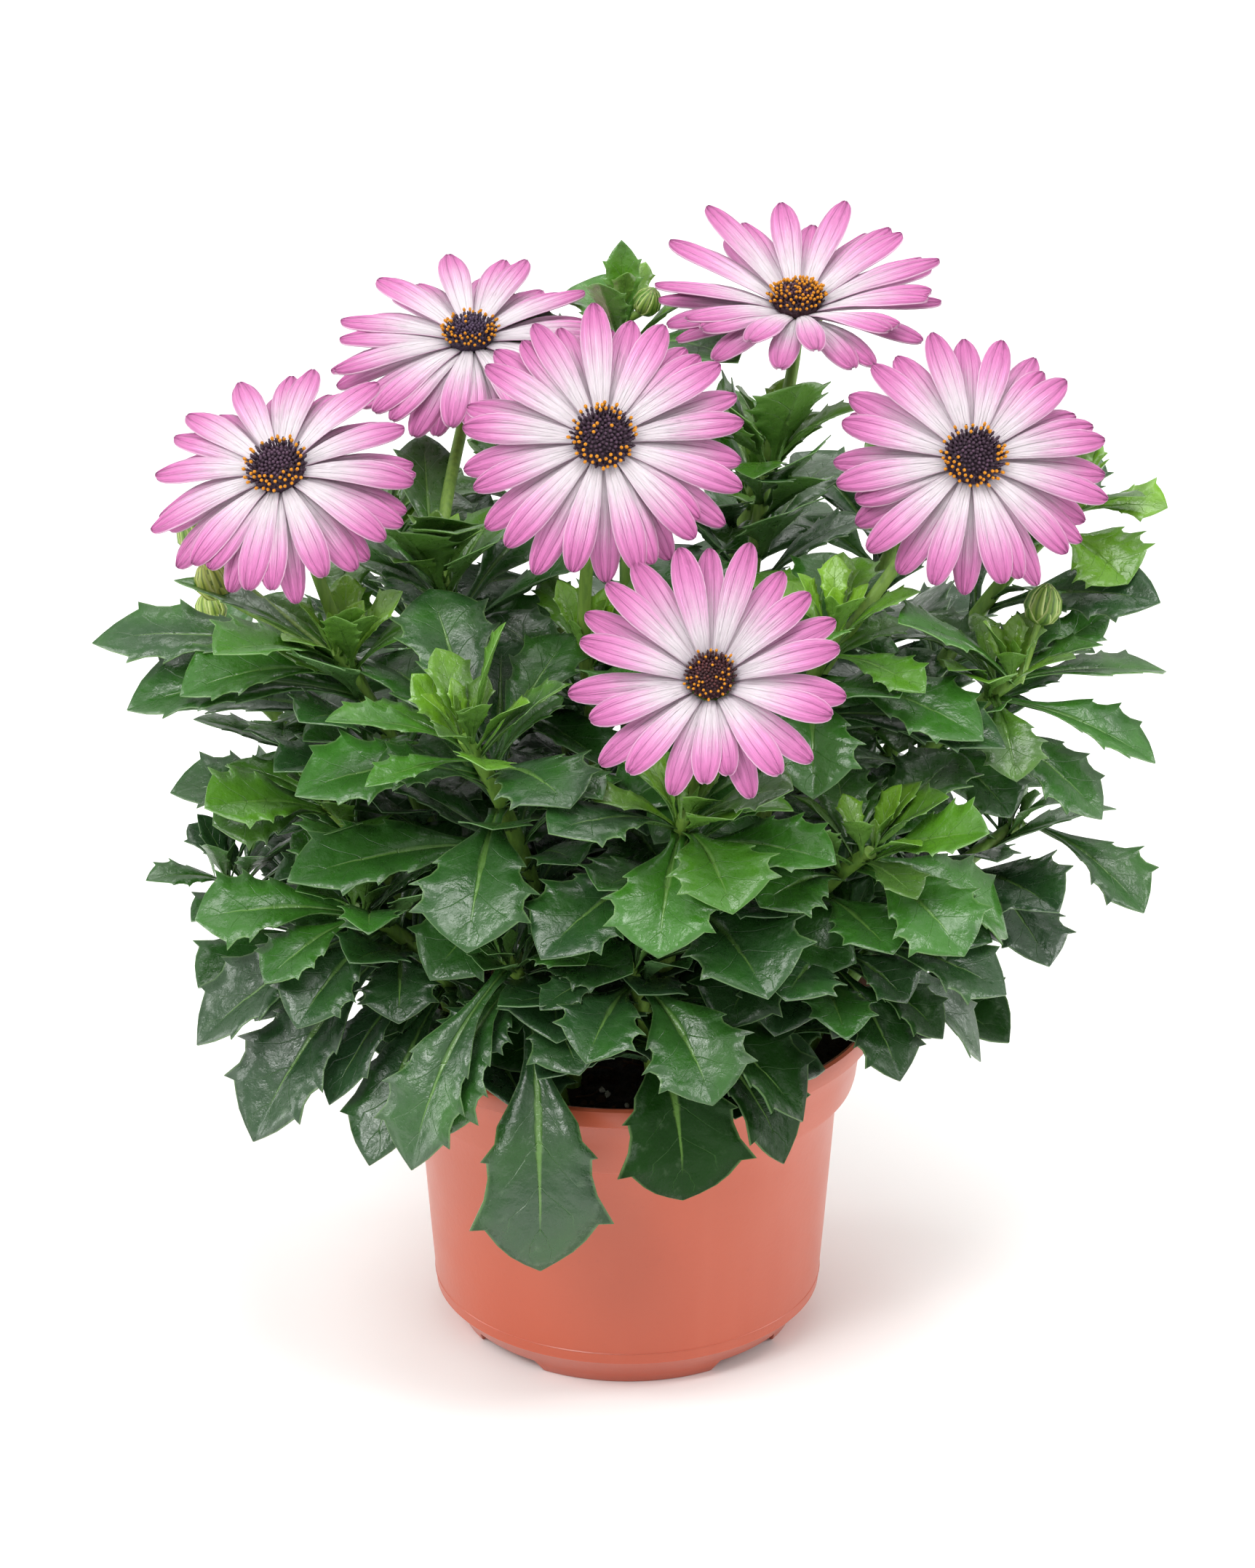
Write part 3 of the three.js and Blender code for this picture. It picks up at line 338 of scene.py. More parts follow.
class Finish:
    """A material under construction: its base colour so far, and short ways to add nodes.
    Colours are screen colours, 0 to 255."""

    def __init__(self, name, roughness, specular=0.5):
        self.material = bpy.data.materials.new(name)
        self.material.use_nodes = True
        self.nodes = self.material.node_tree.nodes
        self.links = self.material.node_tree.links
        self.shader = self.nodes["Principled BSDF"]
        self.base = None
        self.set("Roughness", roughness)
        self.set("Specular IOR Level", specular)
        self.object_place = self.nodes.new("ShaderNodeTexCoord").outputs["Object"]

    def put(self, socket, value):
        if isinstance(value, bpy.types.NodeSocket):
            self.links.new(value, socket)
        elif socket.type == "RGBA":
            socket.default_value = colour(*value)
        else:
            socket.default_value = value

    def set(self, name, value):
        self.put(self.shader.inputs[name], value)

    def math(self, operation, *values):
        node = self.nodes.new("ShaderNodeMath")
        node.operation = operation
        for socket, value in zip(node.inputs, values):
            self.put(socket, value)
        return node.outputs[0]

    def plus(self, first, second):
        return self.math("ADD", first, second)

    def minus(self, first, second):
        return self.math("SUBTRACT", first, second)

    def times(self, first, second):
        return self.math("MULTIPLY", first, second)

    def size(self, value):
        return self.math("ABSOLUTE", value)

    def step(self, value, low, high, out_low=0.0, out_high=1.0):
        """A smooth step of a value from one level to another."""
        node = self.nodes.new("ShaderNodeMapRange")
        node.interpolation_type = "SMOOTHSTEP"
        for socket, given in zip(node.inputs, (value, low, high, out_low, out_high)):
            self.put(socket, given)
        return node.outputs[0]

    def blend(self, share, first, second):
        node = self.nodes.new("ShaderNodeMix")
        node.data_type = "RGBA"
        self.put(node.inputs[0], share)
        self.put(node.inputs[6], first)
        self.put(node.inputs[7], second)
        return node.outputs[2]

    def tint(self, share, tone, strength=1.0):
        """Lays a colour over the base, as far as the share and the strength say."""
        self.base = self.blend(self.times(share, strength), self.base, tone)

    def marked(self, name):
        node = self.nodes.new("ShaderNodeAttribute")
        node.attribute_name = name
        return node.outputs["Fac"]

    def noise(self, scale, detail=3.0, place=None, stretch=(1, 1, 1), roughness=0.5):
        mapping = self.nodes.new("ShaderNodeMapping")
        mapping.inputs["Scale"].default_value = stretch
        self.put(mapping.inputs["Vector"], place or self.object_place)
        node = self.nodes.new("ShaderNodeTexNoise")
        self.put(node.inputs["Vector"], mapping.outputs[0])
        node.inputs["Scale"].default_value = scale
        node.inputs["Detail"].default_value = detail
        node.inputs["Roughness"].default_value = roughness
        return node.outputs["Fac"]

    def combine(self, x, y, z):
        node = self.nodes.new("ShaderNodeCombineXYZ")
        for socket, value in zip(node.inputs, (x, y, z)):
            self.put(socket, value)
        return node.outputs[0]

    def relief(self, height, distance, strength):
        """Adds a bump on top of those that the finish already has."""
        node = self.nodes.new("ShaderNodeBump")
        node.inputs["Strength"].default_value = strength
        node.inputs["Distance"].default_value = distance
        self.put(node.inputs["Height"], height)
        normal = self.shader.inputs["Normal"]
        if normal.is_linked:
            self.put(node.inputs["Normal"], normal.links[0].from_socket)
        self.put(normal, node.outputs[0])

    def done(self):
        """Paints the shader with the base colour, and gives the material."""
        self.set("Base Color", self.base)
        return self.material


def leaf_finish():
    """Leaves: "tone" makes one lighter or darker, at random and, far below zero, as painted shade;
    "age" takes it from lime to deep green.
    """
    finish = Finish("leaf_green", 0.4, 0.7)
    along = finish.marked("along")
    across = finish.size(finish.marked("across"))
    tone = finish.marked("tone")
    age = finish.marked("age")
    patch = finish.noise(48, 4)
    lighter = finish.times(tone, 0.3)
    young = finish.blend(finish.step(age, 0.0, 0.4), (122, 172, 36), (54, 110, 26))
    finish.base = finish.blend(finish.step(age, 0.3, 0.95), young, (36, 78, 26))
    # The tone moves the light and dull patches: random mottling, and on low and hanging leaves part
    # of their painted shade.
    finish.tint(finish.step(finish.plus(patch, lighter), 0.4, 0.95), (50, 102, 30), 0.5)
    finish.tint(finish.step(finish.minus(patch, lighter), 0.4, 0.9), (34, 62, 37), 0.8)
    # Painted shade: a leaf with a tone far below zero, as the low and hanging ones get, turns deep
    # green and loses most of its reflection.
    shaded = finish.step(tone, -1.2, -2.2)
    finish.tint(shaded, (18, 50, 6), 0.85)
    finish.set("Specular IOR Level", finish.step(shaded, 0.5, 1, 0.7, 0.12))

    slope = finish.minus(along, finish.times(across, 0.24))
    ribs = finish.size(finish.math("SINE", finish.times(slope, 19.0)))
    side_vein = finish.times(finish.step(ribs, 0.1, 0.0), finish.step(across, 0.8, 0.3))
    side_vein = finish.times(side_vein, finish.step(along, 0.3, 0.5))
    finish.tint(side_vein, (96, 146, 76), 0.16)
    rib_width = finish.step(along, 0.0, 0.75, 0.3, 0.028)
    midrib = finish.step(finish.math("DIVIDE", across, rib_width), 1.0, 0.3)
    midrib = finish.times(midrib, finish.step(along, 0.88, 0.7))
    finish.tint(midrib, (120, 164, 78), 0.5)
    finish.tint(finish.step(finish.marked("rim"), 0.86, 1.0), (140, 176, 110), 0.3)
    underside = finish.blend(finish.step(age, 0.2, 0.8), (104, 150, 62), (70, 104, 70))
    finish.tint(finish.marked("under"), underside, 0.75)
    # Painted sheen: pale grey-green speckles in the base colour stand in for the leaves' frosty
    # highlights.
    painted_sheen = finish.noise(260, 4, roughness=0.6)
    finish.tint(finish.step(painted_sheen, 0.55, 0.85), (150, 174, 140), 0.14)

    wrinkle = finish.noise(560, 3, roughness=0.55)
    finish.set("Roughness", finish.step(wrinkle, 0.3, 0.7, 0.25, 0.4))
    finish.relief(finish.noise(85, 2), 0.0036, 0.55)
    finish.relief(wrinkle, 0.0005, 0.5)
    finish.relief(finish.noise(1500, 2), 0.00016, 0.5)
    finish.relief(side_vein, -0.0003, 0.6)
    finish.relief(midrib, -0.0005, 0.6)
    return finish.done()


def stem_finish():
    """Stems, stalks and fibres: "tone" makes one yellower."""
    finish = Finish("stem_green", 0.5, 0.45)
    stripe = finish.noise(900, 2, stretch=(1, 1, 0.06))
    finish.base = finish.blend(finish.marked("tone"), (96, 140, 52), (146, 176, 74))
    finish.tint(finish.step(stripe, 0.35, 0.75), (70, 110, 44), 0.5)
    finish.tint(finish.step(finish.noise(60, 2), 0.55, 0.8), (120, 104, 62), 0.35)
    finish.relief(stripe, 0.0003, 0.6)
    finish.relief(finish.noise(1600, 2), 0.00015, 0.5)
    return finish.done()


def bract_finish():
    """Bracts of cups and buds: a dark rib, pale edges and a purple tip. "tone" is yellow."""
    finish = Finish("bract_green", 0.5, 0.45)
    across = finish.size(finish.marked("across"))
    patch = finish.step(finish.noise(260, 2), 0.3, 0.8, 0.0, 0.5)
    finish.base = finish.blend(patch, (84, 130, 42), (56, 98, 36))
    finish.tint(finish.marked("tone"), (164, 176, 78))
    finish.tint(finish.step(across, 0.55, 0.95), (198, 208, 138), 0.7)
    finish.tint(finish.step(across, 0.3, 0.08), (48, 80, 30), 0.7)
    finish.tint(finish.step(finish.marked("along"), 0.88, 1.0), (96, 60, 66), 0.75)
    finish.relief(finish.noise(1400, 2), 0.0002, 0.5)
    return finish.done()


def petal_finish():
    """Petals: white at the base and lilac outwards, with veins along them."""
    finish = Finish("petal_lilac", 0.5, 0.3)
    along = finish.marked("along")
    side = finish.marked("across")
    across = finish.size(side)
    tone = finish.marked("tone")

    def fibres(lengthwise, crosswise, scale, detail, shift):
        """Noise drawn out along the petal, and shifted by the petal's own tone."""
        place = finish.combine(finish.times(along, lengthwise), finish.times(side, crosswise), tone)
        return finish.noise(scale, detail, place, (1, 1, shift), 0.6)

    grain = fibres(1.2, 6, 3.2, 5, 7)
    fine = fibres(1.0, 16, 2.6, 3, 11)

    reach = finish.plus(along, finish.times(finish.minus(grain, 0.5), 0.5))
    for value, weight in ((across, 0.1), (tone, 0.06), (finish.marked("age"), 0.09)):
        reach = finish.plus(reach, finish.times(value, weight))
    lilac = finish.blend(finish.step(along, 0.4, 1.0), (236, 158, 210), (208, 106, 170))
    finish.base = finish.blend(finish.step(reach, 0.29, 0.86), (221, 208, 216), lilac)

    vein = 0.0
    for centre, width, weight in ((0.0, 0.03, 0.4), (0.34, 0.05, 0.8), (0.62, 0.035, 0.45)):
        off = finish.size(finish.minus(across, centre))
        line = finish.times(finish.step(off, width, width * 0.15), weight)
        vein = finish.math("MAXIMUM", vein, line)
    ink = finish.times(finish.step(grain, 0.35, 0.6), finish.step(along, 0.25, 0.6))
    finish.tint(finish.times(vein, ink), (168, 78, 136), 0.85)
    streak = finish.times(finish.step(fine, 0.42, 0.7), finish.step(along, 0.2, 0.6))
    finish.tint(streak, (182, 96, 150), 0.5)
    finish.tint(finish.step(along, 0.14, 0.0), (150, 130, 154), 0.25)
    finish.tint(finish.step(finish.marked("rim"), 0.8, 1.0), (236, 214, 228), 0.6)
    finish.tint(finish.step(along, 0.95, 1.0), (190, 84, 150), 0.4)
    underside = finish.blend(finish.step(across, 0.5, 0.2), (214, 146, 194), (166, 110, 144))
    finish.tint(finish.marked("under"), underside, 0.75)

    finish.set("Subsurface Weight", 0.12)
    finish.set("Subsurface Radius", (0.004, 0.0022, 0.0034))
    finish.set("Subsurface Scale", 1.0)
    finish.set("Sheen Weight", 0.12)
    finish.relief(grain, 0.0006, 0.6)
    finish.relief(fine, 0.00025, 0.6)
    ridges = finish.math("COSINE", finish.times(across, 9.5))
    finish.relief(finish.times(ridges, finish.step(along, 0.15, 0.6)), 0.0006, 0.6)
    finish.relief(vein, -0.0004, 0.7)
    return finish.done()


def floret_finish():
    """Florets: brown on a young disc, and purple on a ripe one, where "age" is 1."""
    finish = Finish("floret_purple", 0.6, 0.35)
    tone = finish.marked("tone")
    speck = finish.noise(2400, 3)
    brown = finish.blend(tone, (48, 20, 20), (96, 46, 38))
    purple = finish.blend(tone, (34, 20, 36), (78, 60, 84))
    finish.base = finish.blend(finish.marked("age"), brown, purple)
    finish.tint(finish.step(speck, 0.5, 0.75), (118, 98, 118), 0.35)
    finish.relief(speck, 0.0002, 0.6)
    return finish.done()


def grain_finish(name, roughness, noise, dark, light, depth):
    """A dull material of grains, with painted shade in their gaps and painted light on their tops."""
    finish = Finish(name, roughness, 0.3)
    grain = finish.noise(*noise)
    # Painted shade and light: the colour follows the grain's bump, dark where it is low and light
    # where it is high.
    finish.base = finish.blend(finish.step(grain, 0.3, 0.7), dark, light)
    finish.relief(grain, depth, 0.8)
    return finish.done()


def pot_finish():
    finish = Finish("pot_terracotta", 0.42, 0.5)
    speck = finish.noise(700, 3)
    flow = finish.noise(60, 3, stretch=(1, 1, 0.08))
    cloud = finish.step(finish.noise(9, 3), 0.3, 0.75)
    finish.base = finish.blend(cloud, (184, 82, 50), (176, 75, 45))
    finish.tint(finish.step(flow, 0.5, 0.8), (187, 93, 66), 0.3)
    finish.tint(finish.step(speck, 0.62, 0.8), (158, 70, 48), 0.25)
    finish.set("Roughness", finish.step(finish.noise(40, 3), 0.25, 0.8, 0.36, 0.48))
    finish.set("Coat Weight", 0.4)
    finish.set("Coat Roughness", 0.3)
    finish.relief(speck, 0.00012, 0.5)
    finish.relief(finish.noise(16, 2), 0.0008, 0.4)
    return finish.done()


def soil_finish():
    finish = Finish("soil_dark", 0.9, 0.25)
    crumb = finish.noise(420, 5, roughness=0.7)
    finish.base = finish.blend(finish.step(crumb, 0.35, 0.7), (22, 16, 13), (62, 45, 34))
    finish.tint(finish.step(finish.noise(40, 3), 0.4, 0.7), (18, 13, 11), 0.5)
    finish.tint(finish.marked("tone"), (96, 66, 44))
    finish.relief(crumb, 0.0012, 0.9)
    return finish.done()


LEAF_GREEN = leaf_finish()
STEM_GREEN = stem_finish()
BRACT_GREEN = bract_finish()
PETAL_LILAC = petal_finish()
FLORET_PURPLE = floret_finish()
POLLEN_ORANGE = grain_finish(
    "pollen_orange", 0.7, (4200, 2), (168, 98, 14), (224, 152, 34), 0.00025)
POT_TERRACOTTA = pot_finish()
SOIL_DARK = soil_finish()
PERLITE_WHITE = grain_finish(
    "perlite_white", 0.85, (1300, 4), (176, 170, 158), (234, 231, 222), 0.0006)


# ------------------------------------------------------------------ blades: leaves, petals and bracts

NEAR = 1e-4
COARSE_SHARES = np.linspace(0.22, 1.0, 7)
COARSE_REACHES = [0.3, 0.55, 0.85, 1.0, 0.95, 0.75, 0.2]
COARSE_FACES = [(3 * i + j, 3 * i + j + 1, 3 * i + j + 4, 3 * i + j + 3)
                for i in range(6) for j in range(2)]


def blade_master(name, outline, columns, thickness, material, channel=(), tips=(), forward=0.0):
    """A flat blade from x = 0 to 1, half as wide as 1, with a midrib channel and a closed skin.
    The outline is [share of length, share of half width]; columns are shares of half width.
    The teeth at the tips' shares point forward."""
    deselect()
    rows = len(outline) - 1
    bpy.ops.mesh.primitive_grid_add(x_subdivisions=rows, y_subdivisions=2 * len(columns), size=2)
    piece = bpy.context.object
    piece.name = name
    with shaping(piece):
        for number, reach in enumerate(columns, 1):
            start = number / len(columns)
            pick(lambda co: abs(abs(co.y) - start) < NEAR)
            scale(1, 1 + (reach - start) / start, 1)
        for number, (share, reach) in reversed(list(enumerate(outline))):
            start = -1 + 2 * number / rows
            pick(lambda co: abs(co.x - start) < NEAR)
            move(2 + share - start, 0, 0)
            scale(1, reach, 1, (2 + share, 0, 0))
        bpy.ops.mesh.select_all(action="SELECT")
        move(-2, 0, 0)
        for share in tips:
            reach = dict(outline)[share]
            pick(lambda co: abs(co.x - share) < NEAR and abs(abs(co.y) - reach) < 10 * NEAR)
            move(forward, 0, 0)
        for low, high, depth in channel:
            pick(lambda co: abs(co.y) < NEAR and low - NEAR < co.x < high)
            move(0, 0, -depth)
    top = corners_of(piece)
    skin = piece.modifiers.new("skin", "SOLIDIFY")
    skin.thickness = thickness
    skin.offset = -1
    finish_modifiers(piece)
    places = corners_of(piece)
    shares, reaches = np.array(outline).T
    lateral = places[:, 1] / np.maximum(np.interp(places[:, 0], shares, reaches), 1e-6)
    rim = np.maximum(np.abs(lateral) > 0.98, places[:, 0] > 0.995).astype(float)
    under = (np.arange(len(places)) >= len(top)).astype(float)
    mark(piece, along=np.clip(places[:, 0], 0, 1), across=np.clip(lateral, -1, 1))
    mark(piece, rim=rim, under=under, tone=0.0, age=1.0)
    piece.data.materials.append(material)
    smooth(piece)
    return piece


class Blade:
    """How one leaf, petal or bract stands: its root, its chord, its arc's normal, its sizes."""

    def __init__(self, root, chord, normal, length, width, arch, roll=0.0):
        self.root = np.array(root)
        self.chord = np.array(chord)
        self.normal = np.array(normal)
        self.left = np.cross(self.normal, self.chord)
        self.length = length
        self.width = width
        self.arch = arch
        self.roll = roll
        self.fold = 0.16
        self.wave = 0.0
        self.phase = 0.0
        self.twist = 0.0

    def places(self, shares, laterals, heights):
        """Where points of the flat blade come to lie on the arched one."""
        slope = self.arch * (1 - 2 * shares)
        size = self.length / (2 * self.arch)
        out = size * (math.sin(self.arch) - np.sin(slope))
        rise = size * (np.cos(slope) - math.cos(self.arch))
        normal = -np.sin(slope)[:, None] * self.chord + np.cos(slope)[:, None] * self.normal
        roll = (self.roll + self.twist * (shares - 0.5))[:, None]
        side = self.left * np.cos(roll) + normal * np.sin(roll)
        face = normal * np.cos(roll) - self.left * np.sin(roll)
        half = self.width / 2
        ripple = np.sin(9 * shares + 2 * np.sign(laterals) + self.phase)
        ripple = self.wave * laterals ** 2 * ripple
        lift = half * (heights + self.fold * np.abs(laterals) + ripple)
        return (self.root + out[:, None] * self.chord + rise[:, None] * self.normal
                + side * (laterals * half)[:, None] + face * lift[:, None])

    def sheet(self):
        """A coarse sheet of the blade, to test whether it crosses others."""
        shares = np.repeat(COARSE_SHARES, 3)
        laterals = np.tile([-1.0, 0.0, 1.0], 7) * np.repeat(COARSE_REACHES, 3)
        return self.places(shares, laterals, np.zeros(21)), COARSE_FACES


def grown(master, blade, tone, age):
    """A copy of a flat blade, bent to stand as the given one does."""
    piece = copy_of(master, master.name + "_copy")
    flat = corners_of(master)
    move_corners(piece, blade.places(flat[:, 0], flat[:, 1], flat[:, 2]))
    mark(piece, tone=tone, age=age)
    return piece


TOOTHED_FROM = 0.42
TOOTHED_LENGTH = 0.46


def leaf_outline(teeth):
    """Margin of a leaf: a winged petiole, a broad blade, and concave scallops between teeth."""
    def broad(share):
        return math.sin(math.pi * share ** 2.0)

    gap = TOOTHED_LENGTH / teeth
    tips = [TOOTHED_FROM + TOOTHED_LENGTH * (k + 0.5) / teeth for k in range(teeth)]
    tooth_reach = 1.14 if teeth > 1 else 1.05
    outline = [(0, 0.17), (0.1, 0.13), (0.2, 0.16), (0.28, 0.25), (0.36, 0.42), (0.44, 0.62)]
    for share in (0.5, 0.56, 0.61):
        if share < tips[0] - 0.03:
            outline.append((share, 0.94 * broad(share)))
    for tip in tips:
        outline.append((tip, tooth_reach * broad(tip)))
        for step, reach in ((0.13, 0.95), (0.36, 0.85), (0.68, 0.87)):
            share = tip + step * gap
            if share < 0.84:
                outline.append((share, reach * broad(share)))
    for share, reach in ((0.86, 0.93), (0.91, 0.95), (0.955, 0.95)):
        outline.append((share, reach * broad(share)))
    return outline + [(1.0, 0.008)], tips


def leaf_master(teeth):
    outline, tips = leaf_outline(teeth)
    channel = [(0.0, 0.5, 0.05), (0.2, 0.7, 0.03), (0.3, 0.86, 0.03)]
    columns = (0.1, 0.55, 1.0) if teeth == 3 else (0.5, 1.0)
    return blade_master(f"leaf_{teeth}", outline, columns, 0.03, LEAF_GREEN, channel, tips, 0.025)


def petal_master():
    """A petal with two ridges along it and its edges curled down."""
    outline = [
        (0, 0.36), (0.07, 0.43), (0.16, 0.54), (0.27, 0.68), (0.38, 0.8), (0.5, 0.92), (0.61, 0.99),
        (0.71, 0.99), (0.8, 0.91), (0.88, 0.77), (0.94, 0.59), (0.98, 0.38), (1.0, 0.14),
    ]
    channel_column, edge_column = 0.3, 1.0
    master = blade_master("petal", outline, (channel_column, 0.62, edge_column), 0.09, PETAL_LILAC)
    with shaping(master):
        for share, reach in outline:
            for column, drop in ((channel_column, 0.07), (edge_column, 0.16)):
                pick(lambda co: abs(co.x - share) < 0.02 and abs(abs(co.y) - column * reach) < 0.015)
                move(0, 0, -drop * min(1, 0.3 + share))
    return master


def bract_master():
    outline = [(0, 0.8), (0.2, 1.0), (0.45, 0.95), (0.7, 0.7), (0.88, 0.4), (1.0, 0.04)]
    return blade_master("bract", outline, (0.45, 1.0), 0.16, BRACT_GREEN)


LEAF_MASTERS = {teeth: leaf_master(teeth) for teeth in (1, 2, 3)}
PETAL_MASTER = petal_master()
BRACT_MASTER = bract_master()


# ------------------------------------------------------------------ reading the solids' blades

# The teeth a side of a leaf in the solids, by the number of its corners.
TEETH_BY_CORNERS = {9: 1, 15: 2, 19: 3}

# Corners of the solids this near to a stem's foot, its line or a bloom's centre aren't blades.
STEM_FOOT = 4
STEM_REACH = STEM_RADIUS + 0.06
PETAL_ROOTS = 7.5


def merged_skin(node):
    """A node's loose triangles, joined into one closed skin. The node itself stays as it is."""
    skin = bmesh.new()
    skin.from_mesh(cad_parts[node].data)
    bmesh.ops.remove_doubles(skin, verts=skin.verts, dist=0.01 * MM)
    return skin


def neighbours(corner):
    return {edge.other_vert(corner) for edge in corner.link_edges}


def islands(skin, shore):
    """The groups of linked corners that are left once the shore's corners are taken out."""
    seen = set(shore)
    found = []
    for corner in skin.verts:
        if corner in seen:
            continue
        seen.add(corner)
        group = [corner]
        for member in group:
            for near in neighbours(member) - seen:
                seen.add(near)
                group.append(near)
        found.append(group)
    return found


def read_blade(group, shore, widest):
    """Measures a blade of the solids: its arc through the root, the last rib and the tip.
    "widest" is the share and the reach of the margin's corners by which its width is read."""
    feet = sorted((c for c in group if neighbours(c) & shore), key=lambda c: -len(neighbours(c)))
    if len(feet) != 4:
        return None
    ribs, ends = feet[:2], feet[2:]

    def beyond(rib, other):
        """The next corner of the midrib, on the rib's own side of the blade."""
        others = neighbours(other) | {other}
        return [c for c in neighbours(rib) - shore if c in group and c not in others]

    tops = beyond(ribs[0], ribs[1])
    unders = beyond(ribs[1], ribs[0])
    margin_set = set(group) - set(ribs) - set(tops) - set(unders)
    margin = [ends[0]]
    while True:
        ahead = [c for c in neighbours(margin[-1]) & margin_set if c not in margin]
        if len(ahead) != 1:
            break
        margin.append(ahead[0])
    if len(margin) != len(margin_set) or margin[-1] != ends[1]:
        return None
    root_corners = set().union(*(neighbours(c) & shore for c in feet))
    root = sum((c.co for c in root_corners), Vector()) / len(root_corners)
    tip = margin[len(margin) // 2].co
    last = (tops or ribs[:1])[0].co.lerp((unders or ribs[1:])[0].co, 0.5)
    chord = tip - root
    span = chord.length
    chord.normalize()
    x = (last - root).dot(chord)
    away = (last - root) - chord * x
    rise = away.length
    normal = away.normalized()
    fall = (x * x - span * x + rise * rise) / (2 * rise)
    arch = math.atan2(span / 2, -fall)
    length = span * arch / math.sin(arch)
    share, reach, number = widest(len(margin))
    slope = arch * (1 - 2 * share)
    square = chord * -math.sin(slope) + normal * math.cos(slope)
    over = margin[number].co - margin[-1 - number].co
    left = normal.cross(chord)
    if over.dot(left) < 0:
        over = -over
    roll = math.atan2(over.dot(square), over.dot(left))
    return Blade(root, chord, normal, length, over.length / reach, arch, roll)


def leaf_gauge(count):
    teeth = (count - 3) // 4
    share = 0.47 + 0.45 * 0.5 / teeth
    return share, math.sin(math.pi * share ** 1.8), 1


def petal_gauge(count):
    return 0.45, 0.84, 0


def read_leaves(shoot):
    """The leaves of a shoot's solid, each with its number of teeth a side."""
    skin = merged_skin("shoot_" + shoot)
    line = [stem_point(shoot, i / 200) for i in range(201)]

    def on_stem(place):
        near = (place - line[0]).xy.length < STEM_FOOT * MM
        foot = near and place.z < (SOIL_TOP + 0.4) * MM
        return foot or min((place - point).length for point in line) < STEM_REACH * MM

    shore = {corner for corner in skin.verts if on_stem(corner.co)}
    leaves = []
    for group in islands(skin, shore):
        if len(group) in TEETH_BY_CORNERS:
            blade = read_blade(group, shore, leaf_gauge)
            if blade:
                leaves.append((blade, TEETH_BY_CORNERS[len(group)]))
    skin.free()
    return leaves


def read_petals(name):
    """The petals of a bloom's solid."""
    skin = merged_skin(f"bloom_{name}_petals")
    centre = Vector(BLOOMS[name].centre) * MM
    shore = {corner for corner in skin.verts if (corner.co - centre).length < PETAL_ROOTS * MM}
    petals = [read_blade(group, shore, petal_gauge) for group in islands(skin, shore)]
    skin.free()
    return [petal for petal in petals if petal]


# ------------------------------------------------------------------ the plant's leaves

class Crowd:
    """The blades and bodies that stand already, for keeping new leaves clear of them."""

    def __init__(self):
        self.members = []

    def member(self, corners, faces):
        tree = BVHTree.FromPolygons([Vector(corner) for corner in corners], faces)
        return corners.min(axis=0), corners.max(axis=0), tree

    def add(self, corners, faces):
        self.members.append(self.member(corners, faces))

    def add_node(self, node):
        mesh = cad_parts[node].data
        corners = np.array([tuple(corner.co) for corner in mesh.vertices])
        self.add(corners, [tuple(face.vertices) for face in mesh.polygons])

    def has_room(self, corners, faces):
        low, high, tree = self.member(corners, faces)
        for other_low, other_high, other in self.members:
            if (low < other_high).all() and (other_low < high).all() and tree.overlap(other):
                return False
        return True


# The turns tried for a leaf that has no room: heading, rise and share of its size.
LEAF_TURNS = [
    (0, 0, 1), (0, 10, 1), (0, -10, 1), (14, 4, 0.95), (-14, 4, 0.95), (0, 20, 0.9),
    (22, -6, 0.88), (-22, -6, 0.88), (34, 10, 0.82), (-34, 10, 0.82), (0, 30, 0.75),
    (0, 0, 0.66), (20, 24, 0.62),
]

# New leaves reach this far past the solids' box at most.
PAST_BOX = 4

# A new leaf has one tooth a side up to the first length, two up to the second, or else three.
TEETH_LENGTHS = (26, 46)


def blade_on_stem(shoot, share, heading, rise, length, width, arch, roll):
    """A leaf blade that leaves a stem at a share of its length. Millimetres and degrees."""
    heading, rise = math.radians(heading), math.radians(rise)
    ahead = Vector((math.cos(heading), math.sin(heading), 0))
    chord = ahead * math.cos(rise) + UP * math.sin(rise)
    normal = UP * math.cos(rise) - ahead * math.sin(rise)
    root = stem_point(shoot, share) + ahead * 1.6 * MM
    return Blade(
        root, chord, normal, length * MM, width * MM, math.radians(arch), math.radians(roll))


def enliven(blade):
    """Gives a blade the small waves, twist and fold of its own."""
    blade.wave = dice.uniform(0.03, 0.13)
    blade.phase = dice.uniform(0, 6.28)
    blade.twist = dice.uniform(-0.4, 0.4)
    blade.fold = 0.16 + dice.uniform(-0.1, 0.16)
    return blade


SUNNY_SIDE = np.array((0, -0.9, 0.44))
SUNNY_ROLL = 0.3


def face_front(blade):
    """Turns a leaf that points sideways a little to the front, the sunny side of the plant."""
    blade.roll -= SUNNY_ROLL * abs(blade.chord[0]) * np.sign(blade.left @ SUNNY_SIDE)
    return blade


def squeeze_in(crowd, shoot, share, heading, rise, length, width, arch):
    """A list with a leaf near the wanted place that is clear of the crowd, or an empty one."""
    roll = dice.uniform(-14, 14)
    for turn, lift, size in LEAF_TURNS:
        blade = blade_on_stem(
            shoot, share, heading + turn, rise + lift, length * size, width * size, arch, roll)
        corners, faces = blade.sheet()
        above = (corners > np.array(cad_box[0]) - PAST_BOX * MM).all()
        below = (corners < np.array(cad_box[1]) + PAST_BOX * MM).all()
        if above and below and crowd.has_room(corners, faces):
            crowd.add(corners, faces)
            teeth = 1 + sum(blade.length >= length * MM for length in TEETH_LENGTHS)
            return [(enliven(blade), teeth)]
    return []


